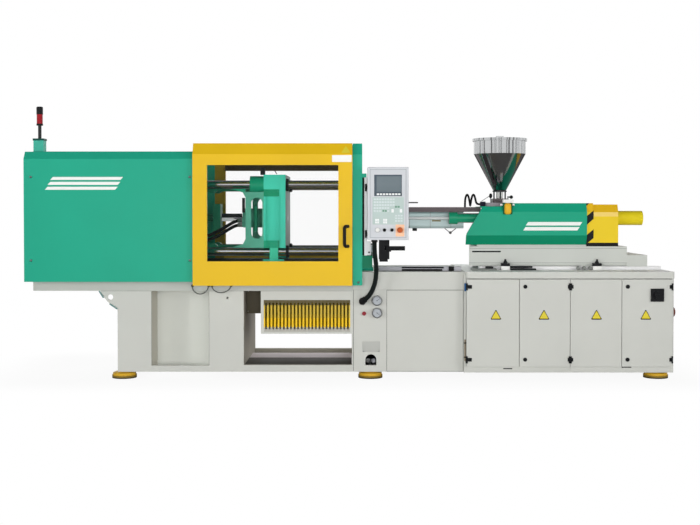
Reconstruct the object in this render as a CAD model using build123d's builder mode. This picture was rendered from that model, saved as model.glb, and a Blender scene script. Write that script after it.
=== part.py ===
from build123d import *
from math import cos, pi, radians, sin, sqrt, tan
import os

# Horizontal injection moulding machine with a double toggle clamp, in millimetres.
# The origin is on the floor under the middle of the machine. +X points to the
# injection end, -Y to the operator and +Z up.

# Whole machine
overall_length = 4784
bed_half_width = 500
cabinet_half_width = 560
axis_height = 1193
running_fit = 0.05
rest_gap = 0.3
sheet = 4
bed_wall = 10

left_end = -overall_length / 2
right_end = overall_length / 2

# Levelling feet
foot_radius = 91
foot_pad_height = 24
foot_pad_lip = 6
base_bottom = 54
foot_stud_radius = 12
foot_stud_height = 70
foot_hole_gap = 1
foot_plate = 20
foot_left_inset = 32
foot_middle_inset = 128
foot_right_inset = 97
foot_y = 410

# Clamp-side bed
bed_joint_x = 25
cover_overhang = 42
table_top = 730
table_bottom = 656
table_plate = 20
pedestal_left = -1725
pedestal_right = -1475
recess_depth = 260
recess_sill = 100
panel_left = -1045
panel_right = -789
opening_sill = 105
rail_depth = 40
panel_hole_x = -909
panel_hole_z = 604
panel_hole_radius = 8
gusset_left = -1852
gusset_bottom = 515
gusset_mid_x = -1801
gusset_mid_z = 578
gusset_hole_x = -1777
gusset_hole_z = 610
gusset_hole_radius = 20
guide_inner_y = 285
guide_outer_y = 345
guide_top = 862.7
guide_left = -1760
guide_right = -70
drop_left = -600
drop_right = -20
drop_half_width = 250

# Parts chute
chute_left = -662
chute_bottom = 337
chute_back = 300
chute_mouth_left = -640
chute_mouth_right = 1.5
chute_mouth_bottom = 351
chute_mouth_top = 588
slide_top_z = 640
slide_back_y = 280
slide_plate = 5
grille_bar_pitch = 26.4
grille_bar_count = 23
grille_bar_width = 13
grille_bar_top = 568
grille_bar_bottom = 369
grille_depth = 8
grille_rail = 10

# Injection-side bed
tank_right = 852
tank_top = 797
tank_plate = 20
cabinet_top = 800
cabinet_top_plate = 49
cabinet_front_y = -538
cabinet_top_lip = 27
cabinet_top_round = 20
bay_floor = 64
bay_split_x = 1622
service_left = 274
service_bottom = 60
service_top = 660
service_plate = 3
injection_rail_inner = 200
injection_rail_outer = 260
injection_rail_left = 985
injection_rail_top = 826
mounting_plate_left = 1700
mounting_plate_right = 2300
mounting_plate_bottom = 150
mounting_plate_top = 700
mounting_plate_y = 300
mounting_plate_thickness = 6

# Pump motor
motor_left = 1000
motor_length = 400
motor_radius = 120
motor_y = 100
motor_z = 260
motor_fins = 18
motor_fin_height = 12
motor_fin_width = 6
pump_radius = 70
pump_length = 150
motor_foot_width = 180

# Gauge plate and what is on it
gauge_plate_left = 27
gauge_plate_right = 271
gauge_plate_bottom = 60
gauge_plate_top = 663
gauge_x = 200
gauge_upper_z = 585
gauge_lower_z = 494
gauge_radius = 36.5
gauge_depth = 28
gauge_rim = 3
gauge_neck_radius = 10
gauge_neck = 8
push_x = 104.5
push_z = 489
push_head_radius = 15
push_stem_radius = 7
push_travel = 5
push_head_depth = 10
hose_arch_left = 114
hose_arch_right = 196
hose_arch_bottom = 104
hose_arch_top = 185
elbow_radius = 26
elbow_outlet_radius = 23
elbow_reach = 30

# Cabinet doors
door_edges = [858, 1248, 1623, 2003, 2378]
cabinet_door_bottom = 101
cabinet_door_top = 745
cabinet_door_depth = 20
cabinet_door_wall = 3
cabinet_door_gap = 2
hinge_ear_radius = 5.5
hinge_pin_radius = 3
hinge_face_offset = 6.5
hinge_side_offset = 6
hinge_height = 27
hinge_ear_height = 12
hinge_upper_z = 690
hinge_lower_z = 152
hinge_leaf_width = 36
hinge_leaf = 3
hinge_strap = 2
lock_radius = 15
lock_height = 4
lock_edge = 41
lock_upper_z = 691
lock_lower_z = 153
switch_x = 2262
switch_z = 629
switch_half = 48
switch_depth = 12
switch_knob_radius = 27
switch_knob_depth = 14
switch_grip_depth = 14
switch_grip_width = 12

# Clamp platens and tie bars
tie_bar_radius = 32.5
tie_bar_offset = 255
tie_bar_left = -1704
tie_bar_head_radius = 56
tie_bar_head = 70
platen_half_width = 330
platen_bottom = 863
platen_top = 1523
fixed_face_x = -60
fixed_platen_thickness = 170
fixed_foot_right = 175
fixed_foot_height = 24
fixed_foot_width = 100
locating_radius = 62.5
locating_depth = 30
nozzle_hole_radius = 95
bolt_square = 280
bolt_wide = 420
bolt_narrow = 140
bolt_hole_radius = 7
bolt_hole_depth = 36
moving_face_x = -488
mould_plate_back_x = -526
moving_block_back_x = -654
skirt_back_x = -792
skirt_wall = 32
skirt_top = 1392
skirt_rib_front_x = -760
flare_tip_x = -895
flare_knee_x = -812
flare_depth = 27
flare_reach = 66
moving_body_bottom = 968
moving_centre_bottom = 900
moving_inner_width = 215
moving_block_half_width = 320
moving_pocket_depth = 25
moving_pocket_bottom = 1025
moving_pocket_top = 1358
moving_foot_left = -608
moving_foot_right = -545
moving_sole_left = -660
moving_sole_right = -500
sole_height = 19
foot_inner_y = 295
foot_outer_y = 335
oval_left = -750
oval_right = -664
oval_bottom = 1038
oval_top = 1350
sleeve_radius = 66
boss_radius = 75
boss_left_x = -838
tail_front_x = -1440
tail_thickness = 150
mould_height_range = 250
nut_radius = 60
nut_thickness = 60
nut_gear_radius = 72
nut_gear_thickness = 18

# Toggle
rear_link_length = 190
front_link_length = 330
lug_height = 240
front_lug_x = -730
clamp_stroke = 350
link_pin_radius = 25
link_eye_radius = 46
link_waist = 30
knee_boss = 2
rear_link_inner = 150
rear_link_outer = 185
front_link_inner = 110
front_link_outer = 145
rear_lug_inner = 188
rear_lug_outer = 213
front_lug_inner = 75
front_lug_outer = 107
lug_width = 50
crosshead_x = -1040
crosshead_thickness = 60
crosshead_half_width = 72
crosshead_half_height = 110
crosshead_stroke = 360
guide_rod_radius = 11
guide_rod_y = 50
guide_rod_left = -1084
piston_rod_radius = 28
piston_radius = 60
piston_length = 60
cylinder_radius = 90
cylinder_length = 500
cylinder_flange_radius = 125
cylinder_flange = 30
cylinder_cap = 40
ejector_radius = 20
ejector_stroke = 100
ejector_piston_radius = 45
ejector_piston = 20
ejector_chamber_right = -664
ejector_chamber_left = -818
hose_radius = 13
hose_block_left_x = -838
hose_block_right_x = -790

# Guards around the clamp
cover_front_y = 585
cover_right_x = -1056
cover_bottom = 728
cover_face_top = 1630
cover_top = 1685
cover_top_y = 545
cover_flange_y = 300
cover_seat = 20
guard_post_left = 20
guard_post_right = 90
guard_post_bottom = 702
guard_post_top = 1745
guard_post_face_top = 1663
guard_beam_depth = 50
guard_beam_height = 46
guard_beam_front_y = 565
guard_beam_left = -1150
guard_arm_width = 40
hanger_rail_y = 335
hanger_rail_width = 20
hanger_rail_top = 1697
lug_upper_bottom = 1494
lug_upper_top = 1523
lug_upper_right = 121
lug_lower_bottom = 831
lug_lower_top = 922
lug_lower_right = 164
lug_front_y = 592
beacon_inset = 83
beacon_y = -450
beacon_box_width = 75
beacon_box_height = 86
beacon_lid_height = 15
beacon_lid_overhang = 4
beacon_pole_radius = 12.5
beacon_pole_height = 98
beacon_collar_radius = 24
beacon_collar_height = 13
beacon_lens_radius = 22
beacon_lens_height = 69
beacon_cap_height = 58

# Sliding doors
door_left = -1150
door_right = 17
door_bottom = 702
door_face_top = 1663
door_top = 1745
door_front_y = 620
door_depth = 30
door_top_y = 575
door_window_left = -1045
door_window_right = -85
door_window_bottom = 880
door_window_top = 1584
window_pane = 4
window_rebate = 20
roller_radius = 14
roller_width = 16
roller_inset = 140
handle_bar_radius = 12.5
handle_root_x = -14
handle_grip_x = -40
handle_root_y = 618
handle_grip_y = 652
handle_top_z = 1136
handle_bottom_z = 991
handle_bend_radius = 18

# Control panel
panel_hinge_x = 116
panel_hinge_y = -600
control_left = 127
control_right = 427
control_bottom = 1037
control_top = 1568
control_front_y = -650
control_back_y = -540
control_round = 8
control_recess_side = 18
control_recess_top = 16
control_recess_depth = 4
bracket_left = 105
bracket_right = 126
bracket_back_y = -540
panel_knuckle_radius = 7
panel_pin_radius = 4
panel_hinge_upper_z = 1420
panel_hinge_lower_z = 1080
panel_knuckle_height = 30
panel_ear_height = 12
key_x = 201
selector_left_x = 250.6
selector_right_x = 305.8
stop_x = 363.6
knob_row_z = 1110
key_radius = 15
knob_radius = 11
knob_depth = 16
knob_grip_width = 6
knob_shaft_radius = 4
knob_shaft = 8
stop_radius = 20
stop_neck_radius = 12
stop_depth = 26
stop_travel = 6
swivel_left = 212
swivel_right = 288
swivel_bottom = 878
swivel_back_y = -560
swivel_front_y = -620
swivel_foot_bottom = 896
lever_left = 288
lever_right = 403
lever_z = 975
lever_half_height = 16
lever_y = -590
lever_screw_radius = 9
lever_hub_radius = 17
gland_x = 179
gland_radius = 23
gland_height = 17
conduit_radius = 18

# Injection unit
sled_left = 908
sled_end_wall_x = 970
sled_right = 2109
sled_bottom = 831
sled_top = 978
sled_half_width = 280
sled_wall = 14
sled_slab_right = 2264
sled_slab_bottom = 819
sled_slab_top = 912
sled_ledge = 12
housing_left = 883
housing_right = 1804
housing_bottom = 991
housing_shoulder_low = 1062
housing_shoulder_high = 1242
housing_top = 1308
housing_notch_top = 1283
housing_notch_right = 1248
housing_slant_x = 1012
housing_rear_set_back = 62
housing_half_width = 280
housing_top_half_width = 244
housing_foot_half_width = 252
housing_seat_inner = 240
housing_seat_outer = 256
edge_band_right = 1857
rear_guard_right = 2046
rear_guard_top = 1298
rear_guard_shoulder = 1240
rear_guard_bottom = 1006
rear_guard_half_width = 262
rear_guard_top_half_width = 232
motor_guard_right = 2292
motor_guard_radius = 56
barrel_radius = 38
barrel_bore_radius = 18
barrel_right = 1330
barrel_left = 40
nozzle_tip_x = -59.7
nozzle_radius = 24
nozzle_tip_radius = 14
nozzle_bore_radius = 3
nozzle_cone = 40
heater_band_radius = 42
heater_band_width = 90
heater_band_count = 5
heater_band_pitch = 120
heater_band_first_x = 240
feed_bore_radius = 24
feed_block_left = 1116
feed_block_right = 1236
feed_block_half_width = 90
feed_block_bottom = 1080
feed_block_top = 1279
barrel_cover_left = 215
barrel_cover_right = 880
barrel_cover_half_width = 130
barrel_cover_bottom = 1113
barrel_cover_top = 1241
barrel_cover_round = 24
duct_top = 1278
duct_right = 1008
duct_inner_y = -90
duct_outer_y = -170
screw_left = -10
screw_flight_depth = 4
screw_flight_width = 6
screw_flight_pitch = 36
screw_shank_right = 1480
screw_shank_radius = 17
drive_left = 1460
drive_right = 1560
drive_half_width = 150
drive_half_height = 90
drive_motor_radius = 48
drive_motor_right = 2000
screw_stroke = 150
drive_guide_y = 110
drive_guide_radius = 20
drive_support_left = 1380
drive_support_thickness = 40
drive_support_rear = 1780
carriage_stroke = 250
carriage_cylinder_left = 759
carriage_flange_right = 824
carriage_cylinder_right = 1330
carriage_cylinder_y = 200
carriage_cylinder_radius = 33
carriage_flange_radius = 46
carriage_bore_radius = 20
carriage_rod_radius = 11
carriage_rod_right = 1290
carriage_piston = 30

# Hopper
hopper_x = 1176
hopper_radius = 202
hopper_rim_radius = 213
hopper_rim_height = 12
hopper_top = 1806
hopper_shoulder = 1694
hopper_cone_bottom = 1408
hopper_neck_radius = 50
hopper_wall = 2.5
throat_radius = 30
throat_ring_radius = 56
throat_ring_height = 10
throat_post_radius = 6
throat_post_offset = 44
throat_bottom = 1345
gate_slot_height = 8
gate_plate = 6
gate_half_width = 34
gate_travel = 70
gate_rod_radius = 6
gate_ball_radius = 14
gate_reach = 92
gate_flange_bottom = 1283
gate_flange_half = 60
lid_height = 8
lid_knob_radius = 30
lid_knob_height = 22
lid_knob_bar = 6

# Small cables
loop_cable_radius = 4
heater_cable_radius = 8
heater_coil_radius = 45
heater_coil_z = 1332
heater_coil_y = -150
heater_coil_first_x = 893
heater_coil_step = 6
heater_coil_points = 13
heater_end_z = 1300
plug_left = 1000
plug_right = 1040
plug_bottom = 1272
plug_top = 1320
plug_y = -195
plug_half_width = 20

base_align = (Align.CENTER, Align.CENTER, Align.MIN)


def middle(pair):
    return (pair[0] + pair[1]) / 2


def block(x, y, z, mode=Mode.ADD):
    """A box between two places along each axis, in the part being built."""
    with Locations((middle(x), middle(y), middle(z))):
        Box(x[1] - x[0], y[1] - y[0], z[1] - z[0], mode=mode)


def rod_x(x, y, z, radius, mode=Mode.ADD):
    """A round bar along X from x[0] to x[1]."""
    with Locations(Location((x[0], y, z), (0, 90, 0))):
        Cylinder(radius, x[1] - x[0], align=base_align, mode=mode)


def rod_y(x, y, z, radius, mode=Mode.ADD):
    """A round bar along Y from y[0] to y[1]."""
    with Locations(Location((x, y[0], z), (-90, 0, 0))):
        Cylinder(radius, y[1] - y[0], align=base_align, mode=mode)


def rod_z(x, y, z, radius, mode=Mode.ADD):
    """A round bar along Z from z[0] to z[1]."""
    with Locations((x, y, z[0])):
        Cylinder(radius, z[1] - z[0], align=base_align, mode=mode)


def side_plate(points, y, mode=Mode.ADD):
    """A plate whose outline is given in X and Z, from y[0] to y[1]."""
    with BuildSketch(Plane.XZ.offset(-y[1])) as outline:
        with BuildLine():
            Polyline(points, close=True)
        make_face()
    extrude(outline.sketch, amount=y[1] - y[0], mode=mode)


def end_plate(points, x, mode=Mode.ADD):
    """A plate whose outline is given in Y and Z, from x[0] to x[1]."""
    with BuildSketch(Plane.YZ.offset(x[0])) as outline:
        with BuildLine():
            Polyline(points, close=True)
        make_face()
    extrude(outline.sketch, amount=x[1] - x[0], mode=mode)


def mirrored(offset):
    return (-offset, offset)


def corners(half_y, half_z):
    """The four corners of a rectangle about the machine's axis, in Y and Z."""
    places = []
    for y in mirrored(half_y):
        for z in mirrored(half_z):
            places.append((y, axis_height + z))
    return places


def route_radii(points):
    """The largest arc that each corner of a cable's route leaves room for."""
    radii = []
    for before, corner, after in zip(points, points[1:], points[2:]):
        run_in = Vector(*corner) - Vector(*before)
        run_out = Vector(*after) - Vector(*corner)
        half_turn = radians(run_in.get_angle(run_out)) / 2
        radii.append(0.45 * min(run_in.length, run_out.length) / tan(half_turn))
    return radii


def cable(points, radius, name):
    """A round cable swept along straight runs joined by tangent arcs."""
    radii = route_radii(points)
    with BuildPart() as tube:
        with BuildLine() as path:
            FilletPolyline(*points, radius=radii)
        with BuildSketch(Plane(origin=path.line @ 0, z_dir=path.line % 0)) as section:
            Circle(radius)
        sweep(section.sketch, path=path.line)
    length = path.wire().length
    expected = pi * radius**2 * length
    print(name, "radii", [round(r) for r in radii], "length", round(length))
    print(name, "volume against section times length", round(tube.part.volume / expected, 4))
    return tube


def save(builder, name):
    builder.part.label = name
    export_step(builder.part, f"parts/{name}.step")


os.makedirs("parts", exist_ok=True)

# Levelling feet: rubber pad, disc and stud
foot_x_left = pedestal_left + foot_left_inset
foot_x_middle = bed_joint_x + foot_middle_inset
foot_x_right = right_end - foot_right_inset
foot_places = []
for foot_x in (foot_x_left, foot_x_middle, foot_x_right):
    for side in mirrored(foot_y):
        foot_places.append((foot_x, side))

with BuildPart() as levelling_feet:
    with Locations([(x, y, 0) for x, y in foot_places]):
        Cylinder(foot_radius, foot_pad_height, align=base_align)
    disc_top = base_bottom - foot_pad_height
    with BuildSketch(Plane.XZ) as disc_profile:
        with BuildLine():
            Polyline(
                (0, foot_pad_height),
                (foot_radius - foot_pad_lip, foot_pad_height),
                (foot_radius - foot_pad_lip, foot_pad_height + disc_top / 2),
                (foot_radius / 2, base_bottom),
                (foot_stud_radius, base_bottom),
                (foot_stud_radius, base_bottom + foot_stud_height),
                (0, base_bottom + foot_stud_height),
                close=True,
            )
        make_face()
    with Locations([(x, y, 0) for x, y in foot_places]):
        add(revolve(disc_profile.sketch, axis=Axis.Z, mode=Mode.PRIVATE))
save(levelling_feet, "levelling_feet")

# Clamp-side bed: folded table on a pedestal, an inspection box and an end plate
clamp_bed_left = left_end + cover_overhang
full_width = mirrored(bed_half_width)
inner_width = mirrored(bed_half_width - bed_wall)
pocket_top = table_top - table_plate
with BuildPart() as clamp_bed:
    block((clamp_bed_left, bed_joint_x), full_width, (table_bottom, table_top))
    block(
        (clamp_bed_left + bed_wall, bed_joint_x - bed_wall),
        inner_width,
        (table_bottom, pocket_top),
        Mode.SUBTRACT,
    )
    block((pedestal_left, pedestal_right), full_width, (base_bottom, pocket_top))
    block(
        (pedestal_left + bed_wall, pedestal_right - bed_wall),
        inner_width,
        (base_bottom + foot_plate, pocket_top),
        Mode.SUBTRACT,
    )
    block((panel_left, panel_right), full_width, (base_bottom, pocket_top))
    block(
        (panel_left + bed_wall, panel_right - bed_wall),
        inner_width,
        (base_bottom + bed_wall, pocket_top),
        Mode.SUBTRACT,
    )
    rod_y(
        panel_hole_x,
        (-bed_half_width - bed_wall, -bed_half_width + 2 * bed_wall),
        panel_hole_z,
        panel_hole_radius,
        Mode.SUBTRACT,
    )
    recess_back = -bed_half_width + recess_depth
    block(
        (pedestal_right - bed_wall, panel_left + bed_wall),
        (recess_back, recess_back + bed_wall),
        (base_bottom, pocket_top),
    )
    for rail_front in (-bed_half_width, bed_half_width - rail_depth):
        rail = (rail_front, rail_front + rail_depth)
        block((pedestal_right, panel_left), rail, (base_bottom, recess_sill))
        block((panel_right, bed_joint_x), rail, (base_bottom, opening_sill))
    block((bed_joint_x - bed_wall, bed_joint_x), full_width, (base_bottom, pocket_top))
    block(
        (drop_left, drop_right),
        mirrored(drop_half_width),
        (table_bottom, table_top),
        Mode.SUBTRACT,
    )
    # Box that the moulded parts fall into, under the drop opening
    chute_right = bed_joint_x - bed_wall
    block((chute_left, chute_right), (-bed_half_width, chute_back), (chute_bottom, pocket_top))
    block(
        (chute_left + bed_wall, chute_right - bed_wall),
        (-bed_half_width + bed_wall, chute_back - bed_wall),
        (chute_bottom + bed_wall, pocket_top),
        Mode.SUBTRACT,
    )
    block(
        (chute_mouth_left, chute_mouth_right),
        (-bed_half_width - bed_wall, -bed_half_width + 2 * bed_wall),
        (chute_mouth_bottom, chute_mouth_top),
        Mode.SUBTRACT,
    )
    # Gussets under the overhanging end of the table
    for gusset_y in (-bed_half_width, bed_half_width - bed_wall):
        with BuildSketch(Plane.XZ.offset(-gusset_y - bed_wall)) as gusset:
            with BuildLine():
                Polyline(
                    (gusset_left, table_bottom),
                    (pedestal_left, table_bottom),
                    (pedestal_left, gusset_bottom),
                )
                ThreePointArc(
                    (pedestal_left, gusset_bottom),
                    (gusset_mid_x, gusset_mid_z),
                    (gusset_left, table_bottom),
                )
            make_face()
            with Locations((gusset_hole_x, gusset_hole_z)):
                Circle(gusset_hole_radius, mode=Mode.SUBTRACT)
        extrude(gusset.sketch, amount=bed_wall)
    # Guides that the platens stand on
    for guide in (mirrored(guide_outer_y)[0], guide_inner_y):
        guide_width = guide_outer_y - guide_inner_y
        block((guide_left, guide_right), (guide, guide + guide_width), (table_top, guide_top))
    for side in mirrored(foot_y):
        rod_z(
            foot_x_left,
            side,
            (base_bottom, base_bottom + foot_plate),
            foot_stud_radius + foot_hole_gap,
            Mode.SUBTRACT,
        )
save(clamp_bed, "clamp_bed")

# Barred guard in the mouth of the chute, with the slide behind it
with BuildPart() as chute_grille:
    grille_front = -bed_half_width
    bar_span = grille_bar_pitch * (grille_bar_count - 1)
    mouth_middle = (chute_mouth_left + chute_mouth_right) / 2
    bars_z = (grille_bar_bottom, grille_bar_top)
    with Locations((mouth_middle, grille_front + grille_depth / 2, middle(bars_z))):
        with GridLocations(grille_bar_pitch, 1, grille_bar_count, 1):
            Box(grille_bar_width, grille_depth, grille_bar_top - grille_bar_bottom)
    grille_x = (chute_mouth_left, chute_mouth_right)
    grille_y = (grille_front, grille_front + grille_depth)
    block(grille_x, grille_y, (grille_bar_top - 1, chute_mouth_top))
    block(grille_x, grille_y, (chute_mouth_bottom, grille_bar_bottom + 1))
    block((grille_x[0], grille_x[0] + grille_rail), grille_y, (bars_z[0], bars_z[1]))
    block((grille_x[1] - grille_rail, grille_x[1]), grille_y, (bars_z[0], bars_z[1]))
    slide_front = grille_front + grille_depth - 1
    side_x = (grille_x[0] + 1, grille_x[1] - 1)
    end_plate(
        [
            (slide_front, chute_mouth_bottom),
            (slide_back_y, slide_top_z - slide_plate),
            (slide_back_y, slide_top_z),
            (slide_front, chute_mouth_bottom + slide_plate),
        ],
        side_x,
    )
save(chute_grille, "chute_grille")

# Injection-side bed: closed tank box, then two cabinet bays under a thick top
with BuildPart() as injection_bed:
    block((bed_joint_x, tank_right), full_width, (base_bottom, tank_top))
    block(
        (bed_joint_x + bed_wall, tank_right - bed_wall),
        inner_width,
        (base_bottom + foot_plate, tank_top - tank_plate),
        Mode.SUBTRACT,
    )
    block(
        (tank_right - bed_wall, right_end - cabinet_door_gap),
        (cabinet_front_y, cabinet_half_width),
        (base_bottom, cabinet_top - 1),
    )
    bay_right_x = right_end - cabinet_door_gap - bed_wall
    for bay in ((tank_right, bay_split_x), (bay_split_x, bay_right_x)):
        block(
            (bay[0] + bed_wall / 2, bay[1] - bed_wall / 2),
            (cabinet_front_y - 1, cabinet_half_width - bed_wall),
            (bay_floor, cabinet_top - cabinet_top_plate),
            Mode.SUBTRACT,
        )
    with BuildSketch(Plane.XY.offset(cabinet_top - cabinet_top_plate)) as top_outline:
        top_length = right_end - tank_right
        with Locations((tank_right + top_length / 2, 0)):
            RectangleRounded(
                top_length, 2 * (cabinet_half_width + 5), cabinet_top_round
            )
    extrude(top_outline.sketch, amount=cabinet_top_plate)
    # Cover plate on the tank, a service cover for the valves
    block(
        (service_left, tank_right - bed_wall),
        (-bed_half_width - service_plate, -bed_half_width),
        (service_bottom, service_top),
    )
    for rail_y in (-injection_rail_outer, injection_rail_inner):
        rail_width = injection_rail_outer - injection_rail_inner
        block(
            (injection_rail_left, right_end - cabinet_top_round),
            (rail_y, rail_y + rail_width),
            (cabinet_top, injection_rail_top),
        )
    # Mounting plate for the electrical gear, on two ribs of the rear wall
    plate_y = (mounting_plate_y, mounting_plate_y + mounting_plate_thickness)
    plate_z = (mounting_plate_bottom, mounting_plate_top)
    block((mounting_plate_left, mounting_plate_right), plate_y, plate_z)
    for rib_x in (mounting_plate_left, mounting_plate_right - bed_wall):
        block((rib_x, rib_x + bed_wall), (mounting_plate_y, cabinet_half_width - 1), plate_z)
    # Arched hole for the water and oil hoses, holes for the stop button and the feet
    arch_radius = (hose_arch_right - hose_arch_left) / 2
    arch_x = (hose_arch_left + hose_arch_right) / 2
    wall_y = (-bed_half_width - service_plate, -bed_half_width + bed_wall + 1)
    block(
        (hose_arch_left, hose_arch_right),
        wall_y,
        (hose_arch_bottom, hose_arch_top - arch_radius),
        Mode.SUBTRACT,
    )
    rod_y(arch_x, wall_y, hose_arch_top - arch_radius, arch_radius, Mode.SUBTRACT)
    rod_y(push_x, wall_y, push_z, push_stem_radius + foot_hole_gap, Mode.SUBTRACT)
    for foot_x in (foot_x_middle, foot_x_right):
        for side in mirrored(foot_y):
            rod_z(
                foot_x,
                side,
                (base_bottom, base_bottom + foot_plate),
                foot_stud_radius + foot_hole_gap,
                Mode.SUBTRACT,
            )
save(injection_bed, "injection_bed")

# Gauge plate with the arched hole and the elbow's seat
plate_front_y = -bed_half_width - sheet
with BuildPart() as gauge_plate:
    gauge_plate_y = (plate_front_y, -bed_half_width)
    block(
        (gauge_plate_left, gauge_plate_right),
        gauge_plate_y,
        (gauge_plate_bottom, gauge_plate_top),
    )
    block(
        (hose_arch_left, hose_arch_right),
        gauge_plate_y,
        (hose_arch_bottom, hose_arch_top - arch_radius),
        Mode.SUBTRACT,
    )
    rod_y(arch_x, gauge_plate_y, hose_arch_top - arch_radius, arch_radius, Mode.SUBTRACT)
    rod_y(push_x, gauge_plate_y, push_z, push_stem_radius + running_fit, Mode.SUBTRACT)
save(gauge_plate, "gauge_plate")

with BuildPart() as pressure_gauges:
    for gauge_z in (gauge_upper_z, gauge_lower_z):
        neck_y = (plate_front_y - gauge_neck, plate_front_y)
        rod_y(gauge_x, neck_y, gauge_z, gauge_neck_radius)
        case_y = (plate_front_y - gauge_depth, neck_y[0])
        rod_y(gauge_x, case_y, gauge_z, gauge_radius)
        face_y = (case_y[0], case_y[0] + gauge_rim)
        rod_y(gauge_x, face_y, gauge_z, gauge_radius - gauge_rim, Mode.SUBTRACT)
save(pressure_gauges, "pressure_gauges")

with BuildPart() as push_button:
    push_back_y = plate_front_y - push_travel - rest_gap
    rod_y(push_x, (push_back_y - push_head_depth, push_back_y), push_z, push_head_radius)
    rod_y(push_x, (push_back_y, -bed_half_width + 1), push_z, push_stem_radius)
save(push_button, "push_button")

# Pump motor with cooling ribs and its pump, on a foot in the first bay
with BuildPart() as pump_motor:
    motor_x = (motor_left, motor_left + motor_length)
    rod_x(motor_x, motor_y, motor_z, motor_radius - motor_fin_height)
    with BuildSketch(Plane.YZ.offset(motor_x[0] + motor_fin_height)) as fins:
        with Locations((motor_y, motor_z)):
            with PolarLocations(motor_radius - motor_fin_height, motor_fins):
                Rectangle(2 * motor_fin_height, motor_fin_width)
    extrude(fins.sketch, amount=motor_length - 2 * motor_fin_height)
    pump_x = (motor_x[1], motor_x[1] + pump_length)
    rod_x(pump_x, motor_y, motor_z, pump_radius)
    foot_width = (motor_y - motor_foot_width / 2, motor_y + motor_foot_width / 2)
    block(
        (motor_x[0] + motor_foot_width / 2, motor_x[1] - motor_foot_width / 2),
        foot_width,
        (bay_floor, motor_z - motor_radius / 2),
    )
save(pump_motor, "pump_motor")

# Cabinet hinges: a strap through the gap, two round ears and a pin between them
hinge_axis_y = -cabinet_half_width - hinge_face_offset
hinge_sets = [
    (door_edges[0] - cabinet_door_gap, (1,)),
    (door_edges[2], (-1, 1)),
    (door_edges[4] + cabinet_door_gap, (-1,)),
]
with BuildPart() as cabinet_hinges:
    for strap_x, sides in hinge_sets:
        for hinge_z in (hinge_upper_z, hinge_lower_z):
            reach_z = hinge_height / 2 + rest_gap + hinge_ear_height
            strap_half = (strap_x - hinge_strap / 2, strap_x + hinge_strap / 2)
            block(
                strap_half,
                (-cabinet_half_width - 1, cabinet_front_y),
                (hinge_z - reach_z, hinge_z + reach_z),
            )
            for side in sides:
                axis_x = strap_x + side * hinge_side_offset
                rod_z(
                    axis_x,
                    hinge_axis_y,
                    (hinge_z - reach_z, hinge_z + reach_z),
                    hinge_pin_radius,
                )
                for ear_low in (hinge_z - reach_z, hinge_z + reach_z - hinge_ear_height):
                    ear_z = (ear_low, ear_low + hinge_ear_height)
                    rod_z(axis_x, hinge_axis_y, ear_z, hinge_ear_radius)
                    web_x = sorted((strap_x, axis_x))
                    web_y = (hinge_axis_y - hinge_ear_radius, -cabinet_half_width - 1)
                    block((web_x[0], web_x[1]), web_y, ear_z)
save(cabinet_hinges, "cabinet_hinges")


def cabinet_door(number, strap_x, side, name):
    """One door: a folded pan with its hinge knuckles, and locks on every second door."""
    low, high = door_edges[number], door_edges[number + 1]
    edge_gap = cabinet_door_gap
    door_x = (low + edge_gap, high - edge_gap)
    if number == 0:
        door_x = (low + edge_gap - 1, high - edge_gap)
    if number == 3:
        door_x = (low + edge_gap, high - edge_gap + 1)
    front = -cabinet_half_width
    door_y = (front, front + cabinet_door_depth)
    axis_x = strap_x + side * hinge_side_offset
    with BuildPart() as door:
        block(door_x, door_y, (cabinet_door_bottom, cabinet_door_top))
        wall = cabinet_door_wall
        block(
            (door_x[0] + wall, door_x[1] - wall),
            (front + wall, door_y[1]),
            (cabinet_door_bottom + wall, cabinet_door_top - wall),
            Mode.SUBTRACT,
        )
        for hinge_z in (hinge_upper_z, hinge_lower_z):
            knuckle_z = (hinge_z - hinge_height / 2, hinge_z + hinge_height / 2)
            rod_z(axis_x, hinge_axis_y, knuckle_z, hinge_ear_radius)
            leaf_x = sorted((axis_x, axis_x + side * hinge_leaf_width))
            block((leaf_x[0], leaf_x[1]), (front - hinge_leaf, front), knuckle_z)
            rod_z(
                axis_x,
                hinge_axis_y,
                knuckle_z,
                hinge_pin_radius + running_fit,
                Mode.SUBTRACT,
            )
        if side < 0:
            for lock_z in (lock_upper_z, lock_lower_z):
                lock_x = door_x[0] + lock_edge
                rod_y(lock_x, (front - lock_height, front), lock_z, lock_radius)
        if number == 3:
            switch_back_y = front - switch_depth
            switch_square = (switch_x - switch_half, switch_x + switch_half)
            switch_z_range = (switch_z - switch_half, switch_z + switch_half)
            block(switch_square, (switch_back_y, front), switch_z_range)
            rod_y(
                switch_x,
                (switch_back_y - 1, front - 1),
                switch_z,
                knob_shaft_radius + running_fit,
                Mode.SUBTRACT,
            )
    save(door, name)


cabinet_door(0, hinge_sets[0][0], 1, "cabinet_door_1")
cabinet_door(1, hinge_sets[1][0], -1, "cabinet_door_2")
cabinet_door(2, hinge_sets[1][0], 1, "cabinet_door_3")
cabinet_door(3, hinge_sets[2][0], -1, "cabinet_door_4")

with BuildPart() as main_switch_knob:
    knob_back = -cabinet_half_width - switch_depth - rest_gap
    rod_y(switch_x, (knob_back - switch_knob_depth, knob_back), switch_z, switch_knob_radius)
    grip_front = knob_back - switch_knob_depth - switch_grip_depth
    block(
        (switch_x - switch_knob_radius + 2, switch_x + switch_knob_radius - 2),
        (grip_front, knob_back - 1),
        (switch_z - switch_grip_width / 2, switch_z + switch_grip_width / 2),
    )
    rod_y(switch_x, (knob_back, -cabinet_half_width - 2), switch_z, knob_shaft_radius)
save(main_switch_knob, "main_switch_knob")

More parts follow.
